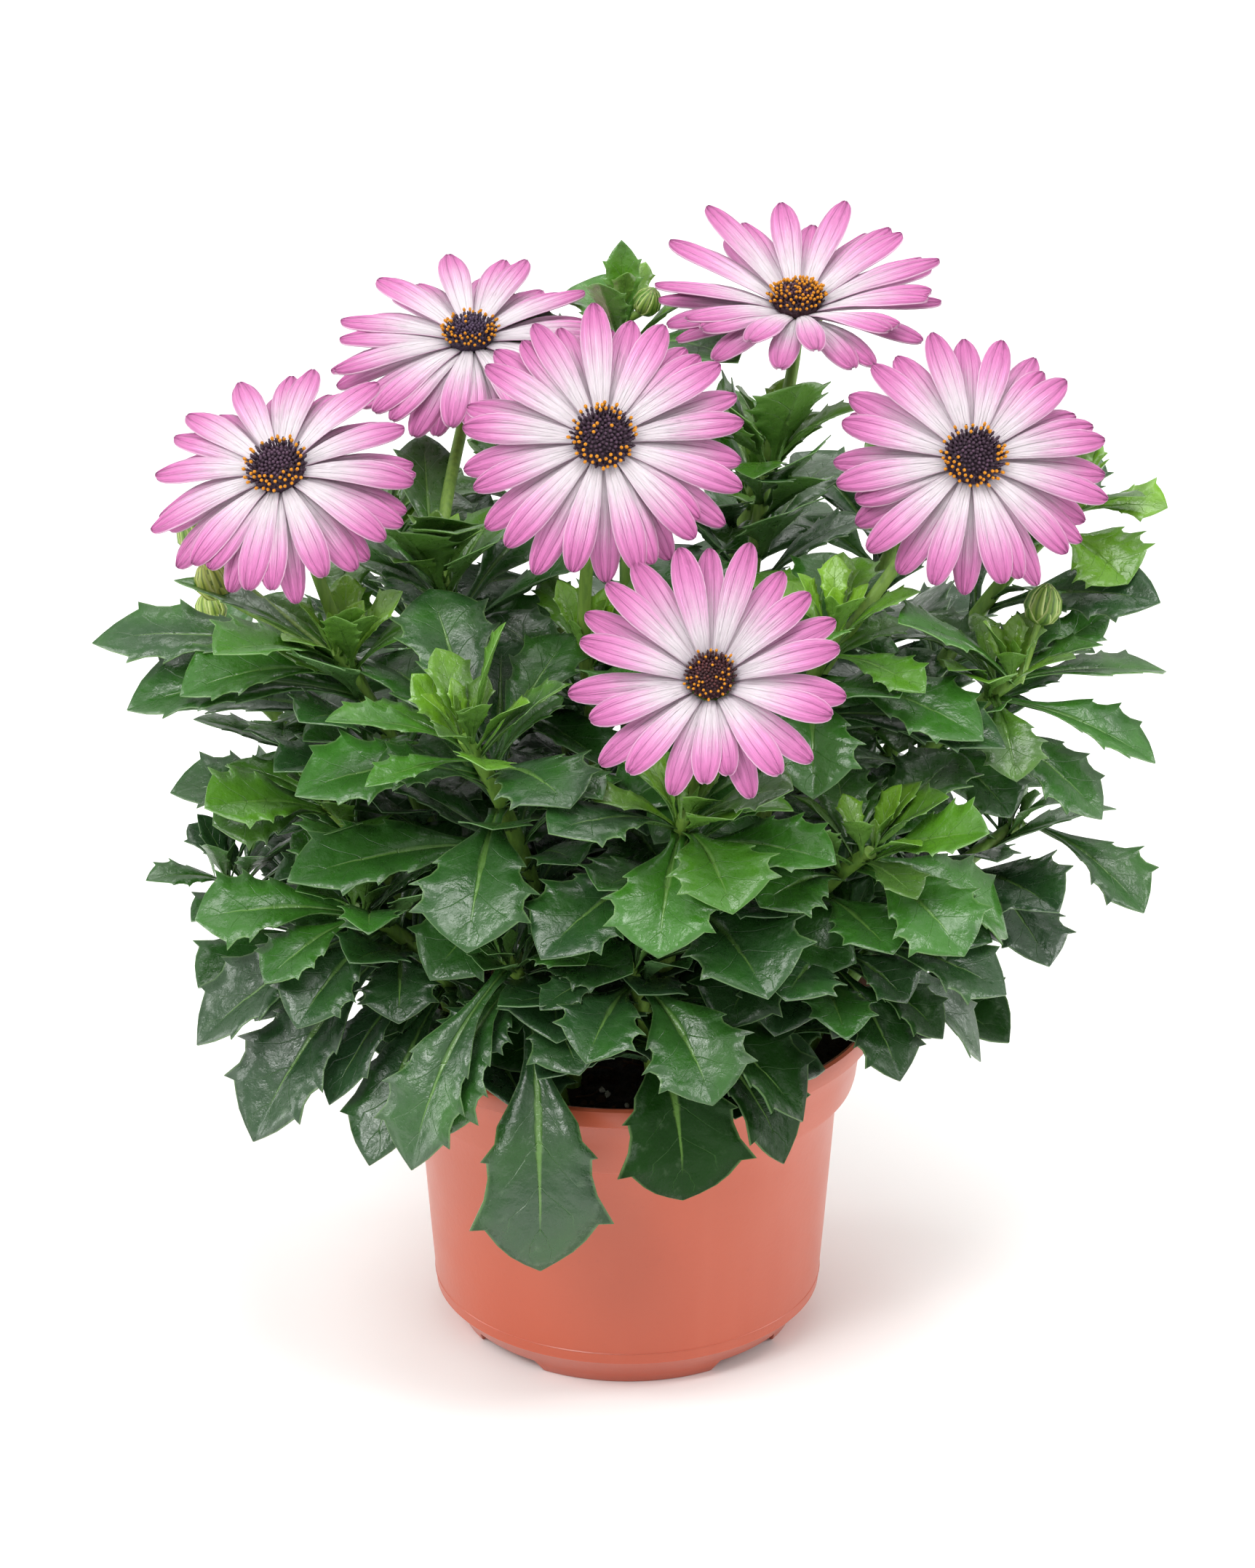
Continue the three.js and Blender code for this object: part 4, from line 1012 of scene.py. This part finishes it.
def young_leaves(crowd, shoot):
    """The tuft of young leaves round a stem's tip: the innermost are the smallest and steepest."""
    leaves = []
    start = dice.uniform(0, 360)
    for k in range(YOUNG_LEAVES):
        length = 9 + 2.5 * k + dice.uniform(-1.5, 2)
        rise = 80 - 6.5 * k + dice.uniform(-8, 8)
        width = length * dice.uniform(0.36, 0.48)
        heading = start + GOLDEN_DEGREES * k
        leaves += squeeze_in(crowd, shoot, 1 - 0.009 * k, heading, rise, length, width, 8 + 2 * k)
    return leaves


def filling_leaves(crowd, shoot):
    """Leaves down the stem, longer and lower further down."""
    leaves = []
    start = dice.uniform(0, 360)
    for k in range(FILLING_LEAVES):
        down = (k + 0.5) / FILLING_LEAVES
        length = 27 + 18 * down + dice.uniform(-4, 7)
        share = 0.97 - 0.76 * down + dice.uniform(-0.02, 0.02)
        heading = start + GOLDEN_DEGREES * k + dice.uniform(-20, 20)
        rise = 40 - 44 * down + dice.uniform(-16, 16)
        width = length * dice.uniform(0.46, 0.6)
        leaves += squeeze_in(crowd, shoot, share, heading, rise, length, width, dice.uniform(8, 30))
    return leaves


# A leaf is young up to a length and near its stem's tip, and low from a height down. Each
# range is how far the change takes.
YOUNG_LENGTH, LENGTH_RANGE = 15, 25
TIP_RANGE = 26
HIGH_LEAF, HEIGHT_RANGE = 155, 50
LOW_LEAF = 0.75


def leaf_age(shoot, blade):
    """From 0 for a leaf that has just opened to 1 for a full-grown one further down the stem."""
    down = (Vector(blade.root) - stem_point(shoot, 1)).length / MM
    size = clamp((blade.length / MM - YOUNG_LENGTH) / LENGTH_RANGE)
    return size * (0.3 + 0.7 * min(1.0, down / TIP_RANGE))


def dressed_leaf(shoot, blade, teeth):
    """A leaf with its finish: the low ones are older, less toothed and darker with painted shade, and
    those that hang down get more painted shade, most on the right, away from the key light."""
    low = clamp((HIGH_LEAF - blade.root[2] / MM) / HEIGHT_RANGE)
    hangs = clamp(-2 * blade.chord[2])
    darker = 1.8 if blade.root[0] > 0 else 0.9
    # Painted shade: the tone drops on low leaves, and more on hanging ones, most on the right.
    tone = dice.uniform(-1, 1) - low * (0.7 + hangs * darker)
    age = leaf_age(shoot, blade) * dice.uniform(0.75, 1)
    master = LEAF_MASTERS[min(teeth + 1, 3) - (low > LOW_LEAF)]
    return grown(master, blade, tone, age + (1 - age) * 0.8 * low)


# ------------------------------------------------------------------ stems, stalks and cups

def tube_along(name, points, radius_low, radius_high, tone, sides=12):
    """A round stem: a turned bar whose rings are moved along a line of points."""
    steps = len(points) - 1
    tube = turned(name, [(1000, 1000 * i) for i in range(steps + 1)], sides)
    flat = corners_of(tube)
    rings = np.rint(flat[:, 2]).astype(int)
    ends = flat[:, :2]
    line = [Vector(point) for point in points]
    places = np.empty_like(flat)
    across = Vector((1, 0, 0))
    for ring in range(steps + 1):
        along = (line[min(ring + 1, steps)] - line[max(ring - 1, 0)]).normalized()
        across = (across - along * across.dot(along)).normalized()
        upright = along.cross(across)
        radius = radius_low + (radius_high - radius_low) * ring / steps
        own = rings == ring
        places[own] = (
            np.array(line[ring]) + ends[own, :1] * radius * np.array(across)
            + ends[own, 1:] * radius * np.array(upright))
    move_corners(tube, places)
    mark(tube, tone=tone)
    tube.data.materials.append(STEM_GREEN)
    smooth(tube, 50)
    return tube


def stem_tube(shoot):
    points = [stem_point(shoot, i / 16) for i in range(17)]
    points.insert(0, points[0] - UP * 8 * MM)
    return tube_along("stem", points, 2.7 * MM, 1.8 * MM, 0.2 + 0.3 * dice.random())


def peduncle_tube(bloom):
    """The bare stalk from a shoot's stem to the cup of its bloom."""
    out = bloom_axes(bloom)[2]
    centre = Vector(bloom.centre) * MM
    neck = centre - out * 24 * MM
    start = stem_point(bloom.shoot, bloom.share)
    along = (stem_point(bloom.shoot, bloom.share + 0.05) - start).normalized()
    leaving = start + along * 0.3 * (neck - start).length
    end = centre - out * 8.5 * MM
    points = []
    for i in range(19):
        gone = i / 18
        left = 1 - gone
        points.append(
            start * left ** 3 + leaving * 3 * left * left * gone
            + neck * 3 * left * gone * gone + end * gone ** 3)
    return tube_along("peduncle", points, 1.75 * MM, 1.5 * MM, 0.45)


def bract_core(name, profile, sides, along, across, tone):
    """The turned body under the bracts of a cup or a bud."""
    body = turned(name, profile, sides)
    mark(body, along=along, across=across, tone=tone)
    body.data.materials.append(BRACT_GREEN)
    smooth(body, 50)
    return body


BRACT_WIDTH = 1.75
CUP_BRACTS = 9


def wrapped_bract(heights, radii, angle, lift, base=0.0, top=1.0):
    """A bract laid up the side of a turned body whose profile is radii over heights."""
    bract = copy_of(BRACT_MASTER, "bract")
    flat = corners_of(BRACT_MASTER)
    shares = base + (top - base) * flat[:, 0]
    height = np.interp(shares, np.linspace(0, 1, len(heights)), heights)
    radius = np.interp(shares, np.linspace(0, 1, len(radii)), radii)
    around = angle + flat[:, 1] * BRACT_WIDTH / np.maximum(radius, 0.8)
    radius = radius + flat[:, 2] * 1.6 + lift * np.sin(math.pi * flat[:, 0])
    rows = np.stack([radius * np.cos(around), radius * np.sin(around), height], axis=1)
    move_corners(bract, rows * MM)
    return bract


def cup(bloom):
    """The green cup behind a bloom: a turned body under two rows of pointed bracts."""
    profile = [
        (1.5, -10.2), (2.6, -9.4), (4.3, -7.9), (5.6, -6), (6.1, -4.4), (6.0, -2.9), (3.0, -2.7)]
    parts = [bract_core("cup", profile, 20, 0.3, 0.6, 0.15)]
    for row, top in enumerate((-1.9, -2.7)):
        heights = [-9.6, -7.6, -5.2, -3.6, top]
        radii = [2.7, 4.9, 6.2, 7.0, 7.7 + 0.5 * row]
        for k in range(CUP_BRACTS):
            angle = FULL_TURN * (k + 0.5 * row) / CUP_BRACTS
            bract = wrapped_bract(heights, radii, angle, 0.25)
            mark(bract, tone=0.15 + 0.2 * dice.random())
            parts.append(bract)
    return placed(joined("cup", parts), bloom_place(bloom))


# Each row of bracts on a bud: how many, where they start and end up its side, and their lift.
BUD_ROWS = ((8, 0.12, 1.0, 0.2), (8, 0.02, 0.92, 0.4), (5, 0.0, 0.42, 0.55))
BUD_RADIUS = 4.9


def bud(shoot, centre, radius, yellow):
    """A closed bud: a fat barrel wrapped in long bracts, with its stalk."""
    heights = [-4.4, -3.2, -0.6, 2.4, 4.8, 6.4]
    radii = [1.3, 3.3, 4.7, 4.5, 2.9, 0.7]
    parts = [bract_core("bud", list(zip(radii, heights)), 18, 0.4, 0.5, yellow)]
    for row, (count, base, top, lift) in enumerate(BUD_ROWS):
        for k in range(count):
            angle = FULL_TURN * (k + 0.5 * row) / count + dice.uniform(-0.06, 0.06)
            bract = wrapped_bract(heights, radii, angle, lift, base, top)
            mark(bract, tone=min(1, yellow + 0.25 * dice.random()))
            parts.append(bract)
    whole = joined("bud", parts)
    tip = stem_point(shoot, 1)
    centre = Vector(centre) * MM
    lean = centre - tip
    lean.z = 0
    lean = (lean.normalized() * 0.45 + UP).normalized()
    size = radius / BUD_RADIUS
    turn = UP.rotation_difference(lean).to_matrix().to_4x4()
    placed(whole, Matrix.Translation(centre) @ turn @ Matrix.Scale(size, 4))
    start = tip - UP * 2 * MM
    sag = tip.lerp(centre, 0.5) - UP * 2 * MM
    end = centre - lean * 3.6 * MM * size
    points = [start.lerp(sag, i / 8).lerp(sag.lerp(end, i / 8), i / 8) for i in range(9)]
    return [whole, tube_along("stalk", points, 1.2 * MM, 1.0 * MM, 0.5, 8)]


# ------------------------------------------------------------------ petals and discs

# How many of the widest gaps get one more petal, in a third layer behind the solids' two.
BEHIND = {"left": 11, "back_left": 14, "middle": 5, "back_right": 11, "right": 6, "front": 1}
LAYER_STEP = 1.1

# The share of a disc's florets dusted orange: at its lower edge, its upper edge and inside.
POLLEN = {
    "left": (0.9, 0.25, 0.02),
    "back_left": (0.85, 0.5, 0.05),
    "middle": (0.85, 0.4, 0.04),
    "back_right": (0.85, 0.7, 0.42),
    "right": (0.85, 0.35, 0.03),
    "front": (0.24, 0.22, 0.13),
}

FLORETS = 150
FLORETS_RADIUS = 6.75
OPEN_FROM_RADIUS = 4.5
DISC_PROFILE = [(6.6, -1.6), (6.8, -0.4), (6.3, 0.9), (5.1, 1.9), (3.4, 2.6), (1.6, 2.9)]
DOME_RADII = [0] + [radius for radius, _ in reversed(DISC_PROFILE[1:])]
DOME_HEIGHTS = [2.95] + [height for _, height in reversed(DISC_PROFILE[1:])]


def petals_behind(name, petals):
    """Petals of a third layer: each is turned from its neighbour into the middle of a gap."""
    centre = np.array(BLOOMS[name].centre) * MM
    across, up, out = bloom_axes(BLOOMS[name])

    def bearing(petal):
        tip = petal.root + petal.length * petal.chord - centre
        return math.atan2(tip @ np.array(up), tip @ np.array(across))

    ring = sorted(petals, key=bearing)
    gaps = [((bearing(ahead) - bearing(petal)) % FULL_TURN, petal)
            for petal, ahead in zip(ring, ring[1:] + ring[:1])]
    gaps.sort(key=lambda gap: -gap[0])
    found = []
    for gap, petal in gaps[:BEHIND[name]]:
        turn = np.array(Matrix.Rotation(gap * dice.uniform(0.4, 0.6), 3, out))
        root = centre + turn @ (petal.root - centre) - np.array(out) * LAYER_STEP * MM
        chord, normal = turn @ petal.chord, turn @ petal.normal
        length = petal.length * dice.uniform(0.9, 1.0)
        found.append(Blade(root, chord, normal, length, petal.width, petal.arch, petal.roll))
    return found


def bloom_petals(name):
    """A bloom's petals as one piece, and the blades that they follow."""
    petals = read_petals(name)
    petals += petals_behind(name, petals)
    parts = []
    for petal in petals:
        petal.width *= dice.uniform(0.8, 0.93)
        petal.length *= dice.uniform(0.96, 1.03)
        petal.fold = dice.uniform(-0.14, 0.06)
        petal.wave = dice.uniform(0.0, 0.07)
        petal.phase = dice.uniform(0, 6.28)
        petal.roll += dice.uniform(-0.12, 0.12)
        petal.twist = dice.uniform(-0.35, 0.35)
        parts.append(grown(PETAL_MASTER, petal, dice.uniform(-1, 1), 1 - BLOOMS[name].ripe))
    return joined(f"petals_{name}", parts), petals


def floret_master(name, material, sides, profile):
    piece = turned(name, profile, sides)
    piece.data.materials.append(material)
    mark(piece, tone=0.5, age=1.0)
    smooth(piece)
    return piece


CLOSED_FLORET = floret_master("closed_floret", FLORET_PURPLE, 5, [
    (0.34, -0.6), (0.42, 0.35), (0.5, 0.75), (0.36, 1.15), (0.1, 1.35)])
OPEN_FLORET = floret_master("open_floret", FLORET_PURPLE, 5, [
    (0.3, -0.6), (0.26, 0.7), (0.46, 1.25), (0.3, 1.4), (0.24, 1.75)])
ANTHERS = floret_master("anthers", POLLEN_ORANGE, 6, [
    (0.16, 1.4), (0.36, 1.7), (0.47, 2.0), (0.36, 2.3), (0.12, 2.45)])


def bloom_disc(name):
    """The disc: a low dome set with florets in spirals, the outer ones open and dusted orange."""
    bloom = BLOOMS[name]
    lower, upper, inside = POLLEN[name]
    dome = turned("dome", DISC_PROFILE, 28)
    dome.data.materials.append(FLORET_PURPLE)
    mark(dome, tone=0.1, age=bloom.ripe)
    smooth(dome, 60)
    parts = [dome]
    for k in range(FLORETS):
        radius = FLORETS_RADIUS * math.sqrt((k + 0.5) / FLORETS)
        angle = k * math.radians(GOLDEN_DEGREES)
        height = float(np.interp(radius, DOME_RADII, DOME_HEIGHTS))
        slope = float(np.interp(radius + 0.5, DOME_RADII, DOME_HEIGHTS)) - height
        lean = math.atan2(-slope, 0.5) * 0.8 + dice.uniform(-0.12, 0.12)
        is_open = radius > OPEN_FROM_RADIUS
        tall = dice.uniform(0.85, 1.2) * (1.15 if is_open else 0.9)
        place = (
            Matrix.Rotation(angle, 4, "Z") @ Matrix.Translation(Vector((radius, 0, height)) * MM)
            @ Matrix.Rotation(lean, 4, "Y") @ Matrix.Rotation(dice.uniform(0, 6), 4, "Z")
            @ Matrix.Diagonal((1, 1, tall, 1)))
        floret = placed(copy_of(OPEN_FLORET if is_open else CLOSED_FLORET, "floret"), place)
        mark(floret, tone=dice.random() * (0.5 if is_open else 1.0), age=bloom.ripe)
        parts.append(floret)
        dusted = inside
        if is_open:
            dusted = upper + (lower - upper) * (0.5 - 0.5 * math.sin(angle))
        if dice.random() < dusted:
            parts.append(placed(copy_of(ANTHERS, "anthers"), place))
    disc = joined(f"disc_{name}", parts)
    return placed(disc, bloom_place(bloom) @ Matrix.Scale(bloom.size, 4))


# ------------------------------------------------------------------ the pot

# The pot's wall as [radius, height]: up its outside, over the rim, and down its inside.
POT_PROFILE = [
    (36, 3.8), (40.2, 3.8), (40.5, 3.5), (40.5, 0.4), (40.9, 0.0), (43.1, 0.0), (43.6, 0.4),
    (44.9, 2.9), (46.4, 5.0), (48.6, 7.4), (49.7, 8.7), (50.1, 9.1), (50.05, 9.6), (50.2, 10.4),
    (50.32, 11.9), (50.52, 12.05), (50.36, 12.25),
    (51.4, 25), (52.7, 42), (53.9, 58), (54.6, 67.4), (55.0, 68.2), (58.2, 68.7), (58.9, 69.1),
    (59.2, 70.1), (60.2, 77), (61.0, 83.6), (61.6, 84.4), (64.2, 84.7), (64.9, 85.2), (65.0, 86.2),
    (65.0, 88.4), (64.7, 89.4), (63.9, 89.95), (63.0, 89.7), (62.6, 88.9), (61.4, 86.2), (60.0, 83.8),
    (59.4, 83.0), (57.8, 71.2), (57.2, 70.5), (53.4, 69.9), (52.9, 69.2), (51.6, 52), (50.0, 31),
    (48.5, 11), (47.4, 8.6), (44.4, 5.6), (43.4, 5.4), (20, 5.4),
]
FOOT_NOTCHES = 4
DRAIN_HOLES = 6
DRAIN_CIRCLE = 30


def foot_notch(angle):
    """The slanted gap between two feet, as the block that is cut out for it."""
    deselect()
    bpy.ops.mesh.primitive_cube_add(size=1, location=(0, 0, 0))
    block = bpy.context.object
    with shaping(block):
        scale(14 * MM, 25 * MM, 5.5 * MM)
        move(43 * MM, 0, 0.75 * MM)
        pick(lambda co: co.z > 0)
        scale(1, 0.8, 1, (43 * MM, 0, 0))
    return placed(block, Matrix.Rotation(angle, 4, "Z"))


def drain_hole(angle):
    hole = turned("drain", [(4.6, 2), (4.5, 4.6), (4.9, 7)], 24)
    x, y = DRAIN_CIRCLE * math.cos(angle), DRAIN_CIRCLE * math.sin(angle)
    return placed(hole, Matrix.Translation(Vector((x, y, 0)) * MM))


def pot_body():
    """The moulded pot: foot ring, rounded shoulder, tapered body, collar, and rolled rim band."""
    pot = turned("pot", POT_PROFILE, 112)
    cutters = [foot_notch(FULL_TURN * (k + 0.5) / FOOT_NOTCHES) for k in range(FOOT_NOTCHES)]
    cutters += [drain_hole(FULL_TURN * k / DRAIN_HOLES) for k in range(DRAIN_HOLES)]
    for cutter in cutters:
        cut = pot.modifiers.new("cut", "BOOLEAN")
        cut.operation = "DIFFERENCE"
        cut.solver = "EXACT"
        cut.object = cutter
    finish_modifiers(pot)
    for cutter in cutters:
        bpy.data.objects.remove(cutter)
    pot.data.materials.clear()
    pot.data.materials.append(POT_TERRACOTTA)
    smooth(pot, 32)
    return pot


# ------------------------------------------------------------------ the soil

SOIL_SIDE = [
    (43, 5.8), (45.5, 8.2), (47.6, 11), (50, 40), (52.1, 69), (52.3, 70.3), (56.4, 71.1), (57.4, 76)]
SOIL_SURFACE = [
    (55, 77.6), (51, 78.3), (46, 78.2), (41, 78.6), (36, 78), (31, 78.4), (26, 78), (21, 78.4),
    (16, 78), (11, 78.3), (6, 78), (2, 78.2)]
CRUMBS, CRUMBS_RADIUS = 330, 56
PERLITE_EVERY = 9
FIBRES, FIBRES_RADIUS = 46, 53
SOIL_EDGE = 57
ABOVE_SOIL = 95


def soil_body():
    """The root ball with its lumpy top."""
    body = turned("soil", SOIL_SIDE + SOIL_SURFACE, 72)
    with shaping(body):
        pick(lambda co: co.z > 76.5 * MM)
        bpy.ops.mesh.subdivide(number_cuts=1)
    lumpy = body.vertex_groups.new(name="lumpy")
    surface = [corner.index for corner in body.data.vertices if corner.co.z > 77 * MM]
    lumpy.add(surface, 1.0, "REPLACE")
    for size, depth in ((14, 3.0), (4, 1.8)):
        grain = bpy.data.textures.new("soil_grain", "CLOUDS")
        grain.noise_scale = size * MM
        grain.noise_depth = 3
        lumps = body.modifiers.new("lumps", "DISPLACE")
        lumps.texture = grain
        lumps.texture_coords = "LOCAL"
        lumps.direction = "Z"
        lumps.mid_level = 0.5
        lumps.strength = depth * MM
        lumps.vertex_group = "lumpy"
    finish_modifiers(body)
    body.vertex_groups.clear()
    mark(body, tone=0.0)
    body.data.materials.append(SOIL_DARK)
    smooth(body)
    return body


def crumb_master():
    deselect()
    bpy.ops.mesh.primitive_ico_sphere_add(subdivisions=1, radius=1)
    crumb = bpy.context.object
    with shaping(crumb):
        bpy.ops.mesh.bevel(offset=0.22, segments=1)
        bpy.ops.transform.vertex_random(offset=0.16, uniform=1.0, seed=4)
    smooth(crumb, 40)
    return crumb


def crumb_on_soil(ground, master, is_perlite):
    """A crumb of soil or perlite at a random place on the surface."""
    radius = CRUMBS_RADIUS * math.sqrt(dice.random())
    angle = dice.uniform(0, FULL_TURN)
    start = Vector((radius * math.cos(angle), radius * math.sin(angle), ABOVE_SOIL)) * MM
    place = ground.ray_cast(start, -UP)[0]
    size = dice.uniform(0.7, 1.3) if is_perlite else dice.uniform(0.5, 1.9)
    turn = Matrix.Rotation(dice.uniform(0, 6), 4, Vector((dice.random(), dice.random(), 1)))
    shape = Matrix.Diagonal((1, dice.uniform(0.6, 1), dice.uniform(0.5, 0.9), 1))
    at = Matrix.Translation(place + UP * 0.3 * size * MM)
    piece = placed(copy_of(master, "crumb"), at @ turn @ shape @ Matrix.Scale(size * MM, 4))
    mark(piece, tone=dice.random() * 0.7)
    piece.data.materials.append(PERLITE_WHITE if is_perlite else SOIL_DARK)
    return piece


def fibre_on_soil(ground):
    """A list with a bent fibre that lies on the surface, or an empty one where it leaves it."""
    angle, radius = dice.uniform(0, FULL_TURN), FIBRES_RADIUS * math.sqrt(dice.random())
    heading, length = dice.uniform(0, FULL_TURN), dice.uniform(5, 13)
    points = []
    for i in range(6):
        share = i / 5 - 0.5
        bend = heading + 0.9 * share
        at = Vector((
            radius * math.cos(angle) + length * share * math.cos(bend),
            radius * math.sin(angle) + length * share * math.sin(bend), ABOVE_SOIL)) * MM
        hit = ground.ray_cast(at, -UP)[0]
        if hit is None or at.xy.length > SOIL_EDGE * MM:
            return []
        points.append(hit + UP * (0.35 + 0.8 * math.sin(3.1 * (share + 0.5))) * MM)
    fibre = tube_along("fibre", points, 0.32 * MM, 0.2 * MM, 0.6 + 0.4 * dice.random(), 5)
    fibre.data.materials[0] = SOIL_DARK
    return [fibre]


def soil_with_crumbs():
    """The soil with the crumbs, the perlite and the fibres that lie on it."""
    body = soil_body()
    ground = BVHTree.FromObject(body, bpy.context.evaluated_depsgraph_get())
    crumb = crumb_master()
    parts = [body]
    for k in range(CRUMBS):
        parts.append(crumb_on_soil(ground, crumb, k % PERLITE_EVERY == 0))
    for _ in range(FIBRES):
        parts += fibre_on_soil(ground)
    bpy.data.objects.remove(crumb)
    return joined("potting_soil_top", parts)


# ------------------------------------------------------------------ putting it all together

finished(pot_body(), "pot")
finished(soil_with_crumbs(), "soil")

crowd = Crowd()
crowd.add_node("pot")
crowd.add_node("soil")

for name in BLOOMS:
    petals, blades = bloom_petals(name)
    finished(petals, f"bloom_{name}_petals")
    for blade in blades:
        crowd.add(*blade.sheet())
    crowd.add_node(f"bloom_{name}_disc")
    finished(bloom_disc(name), f"bloom_{name}_disc")

leaves = {shoot: [] for shoot in STEMS}
for shoot in STEMS:
    for blade, teeth in read_leaves(shoot):
        crowd.add(*face_front(blade).sheet())
        leaves[shoot].append((enliven(blade), teeth))

for shoot, *form in MORE_LARGE_LEAVES:
    leaves[shoot] += squeeze_in(crowd, shoot, *form)

for shoot in STEMS:
    if shoot != "top":
        leaves[shoot] += young_leaves(crowd, shoot)

for shoot in STEMS:
    leaves[shoot] += filling_leaves(crowd, shoot)

for shoot in STEMS:
    parts = [stem_tube(shoot)]
    for bloom in BLOOMS.values():
        if bloom.shoot == shoot:
            parts += [peduncle_tube(bloom), cup(bloom)]
    for form in BUDS:
        if form.shoot == shoot:
            parts += bud(*form)
    parts += [dressed_leaf(shoot, blade, teeth) for blade, teeth in leaves[shoot]]
    finished(joined(f"foliage_{shoot}", parts), f"shoot_{shoot}")

for master in (
        *LEAF_MASTERS.values(), PETAL_MASTER, BRACT_MASTER, CLOSED_FLORET, OPEN_FLORET, ANTHERS):
    bpy.data.objects.remove(master)


# ------------------------------------------------------------------ studio

CAMERA_PLACE = (0, -1.6313, 0.9107)
CAMERA_AIM = (0, 0, 0.15)
CAMERA_LENS = 162.3

# Each softbox: its place, what it aims at, its two sides, and its power in watts.
SOFTBOXES = {
    "key": ((-0.9, -1.3, 1.7), (0, 0, 0.13), (0.8, 0.8), 23),
    "top": ((0.3, -0.6, 1.9), (0, 0, 0.15), (1.2, 0.8), 21),
    "back": ((0.0, 1.1, 1.5), (0, 0, 0.2), (1.2, 0.8), 9),
    "left_side": ((-1.7, 0.2, 0.5), (0, 0, 0.1), (0.5, 1.2), 10),
    "right_side": ((1.7, 0.0, 0.5), (0, 0, 0.1), (0.5, 1.2), 11),
}
SKY_STRENGTH = 0.74


FLOOR_WIDTH, FLOOR_DEPTH, FLOOR_IN_FRONT = 14, 10, 14
WALL_HEIGHT = 3
BEND_RADIUS, BEND_STEPS = 1.2, 12


def stage_sheet():
    """The pale floor, which curves up into the wall behind."""
    deselect()
    bpy.ops.mesh.primitive_plane_add(size=1)
    sheet = bpy.context.object
    sheet.name = "studio_floor"
    with shaping(sheet):
        scale(FLOOR_WIDTH, FLOOR_DEPTH, 1)
        pick(lambda co: co.y < 0)
        move(0, -FLOOR_IN_FRONT, 0)
        pick(lambda co: co.y > 0)
        length = BEND_RADIUS * math.pi / 2 / BEND_STEPS
        for k in range(BEND_STEPS):
            bend = math.pi / 2 * (k + 0.5) / BEND_STEPS
            extrude(0, length * math.cos(bend), length * math.sin(bend))
        extrude(0, 0, WALL_HEIGHT)
    smooth(sheet)
    finish = Finish("studio_white", 0.9, 0.1)
    finish.base = (244, 244, 243)
    sheet.data.materials.append(finish.done())


def stand(name, data, place, aim):
    """Puts a lamp or a camera at a place, turned to what it aims at."""
    thing = bpy.data.objects.new(name, data)
    thing.location = place
    thing.rotation_euler = (Vector(aim) - Vector(place)).to_track_quat("-Z", "Y").to_euler()
    bpy.context.collection.objects.link(thing)
    return thing


def studio():
    stage_sheet()
    for name, (place, aim, sides, power) in SOFTBOXES.items():
        light = bpy.data.lights.new(name, "AREA")
        light.shape = "RECTANGLE"
        light.size, light.size_y = sides
        light.energy = power
        stand(name, light, place, aim)
    world = bpy.data.worlds.new("studio")
    world.use_nodes = True
    sky = world.node_tree.nodes["Background"]
    sky.inputs["Color"].default_value = (1, 1, 1, 1)
    sky.inputs["Strength"].default_value = SKY_STRENGTH
    bpy.context.scene.world = world
    bpy.context.scene.view_settings.view_transform = "Standard"
    camera = bpy.data.cameras.new("camera")
    camera.lens = CAMERA_LENS
    camera.sensor_width = 36
    bpy.context.scene.camera = stand("camera", camera, CAMERA_PLACE, CAMERA_AIM)


studio()
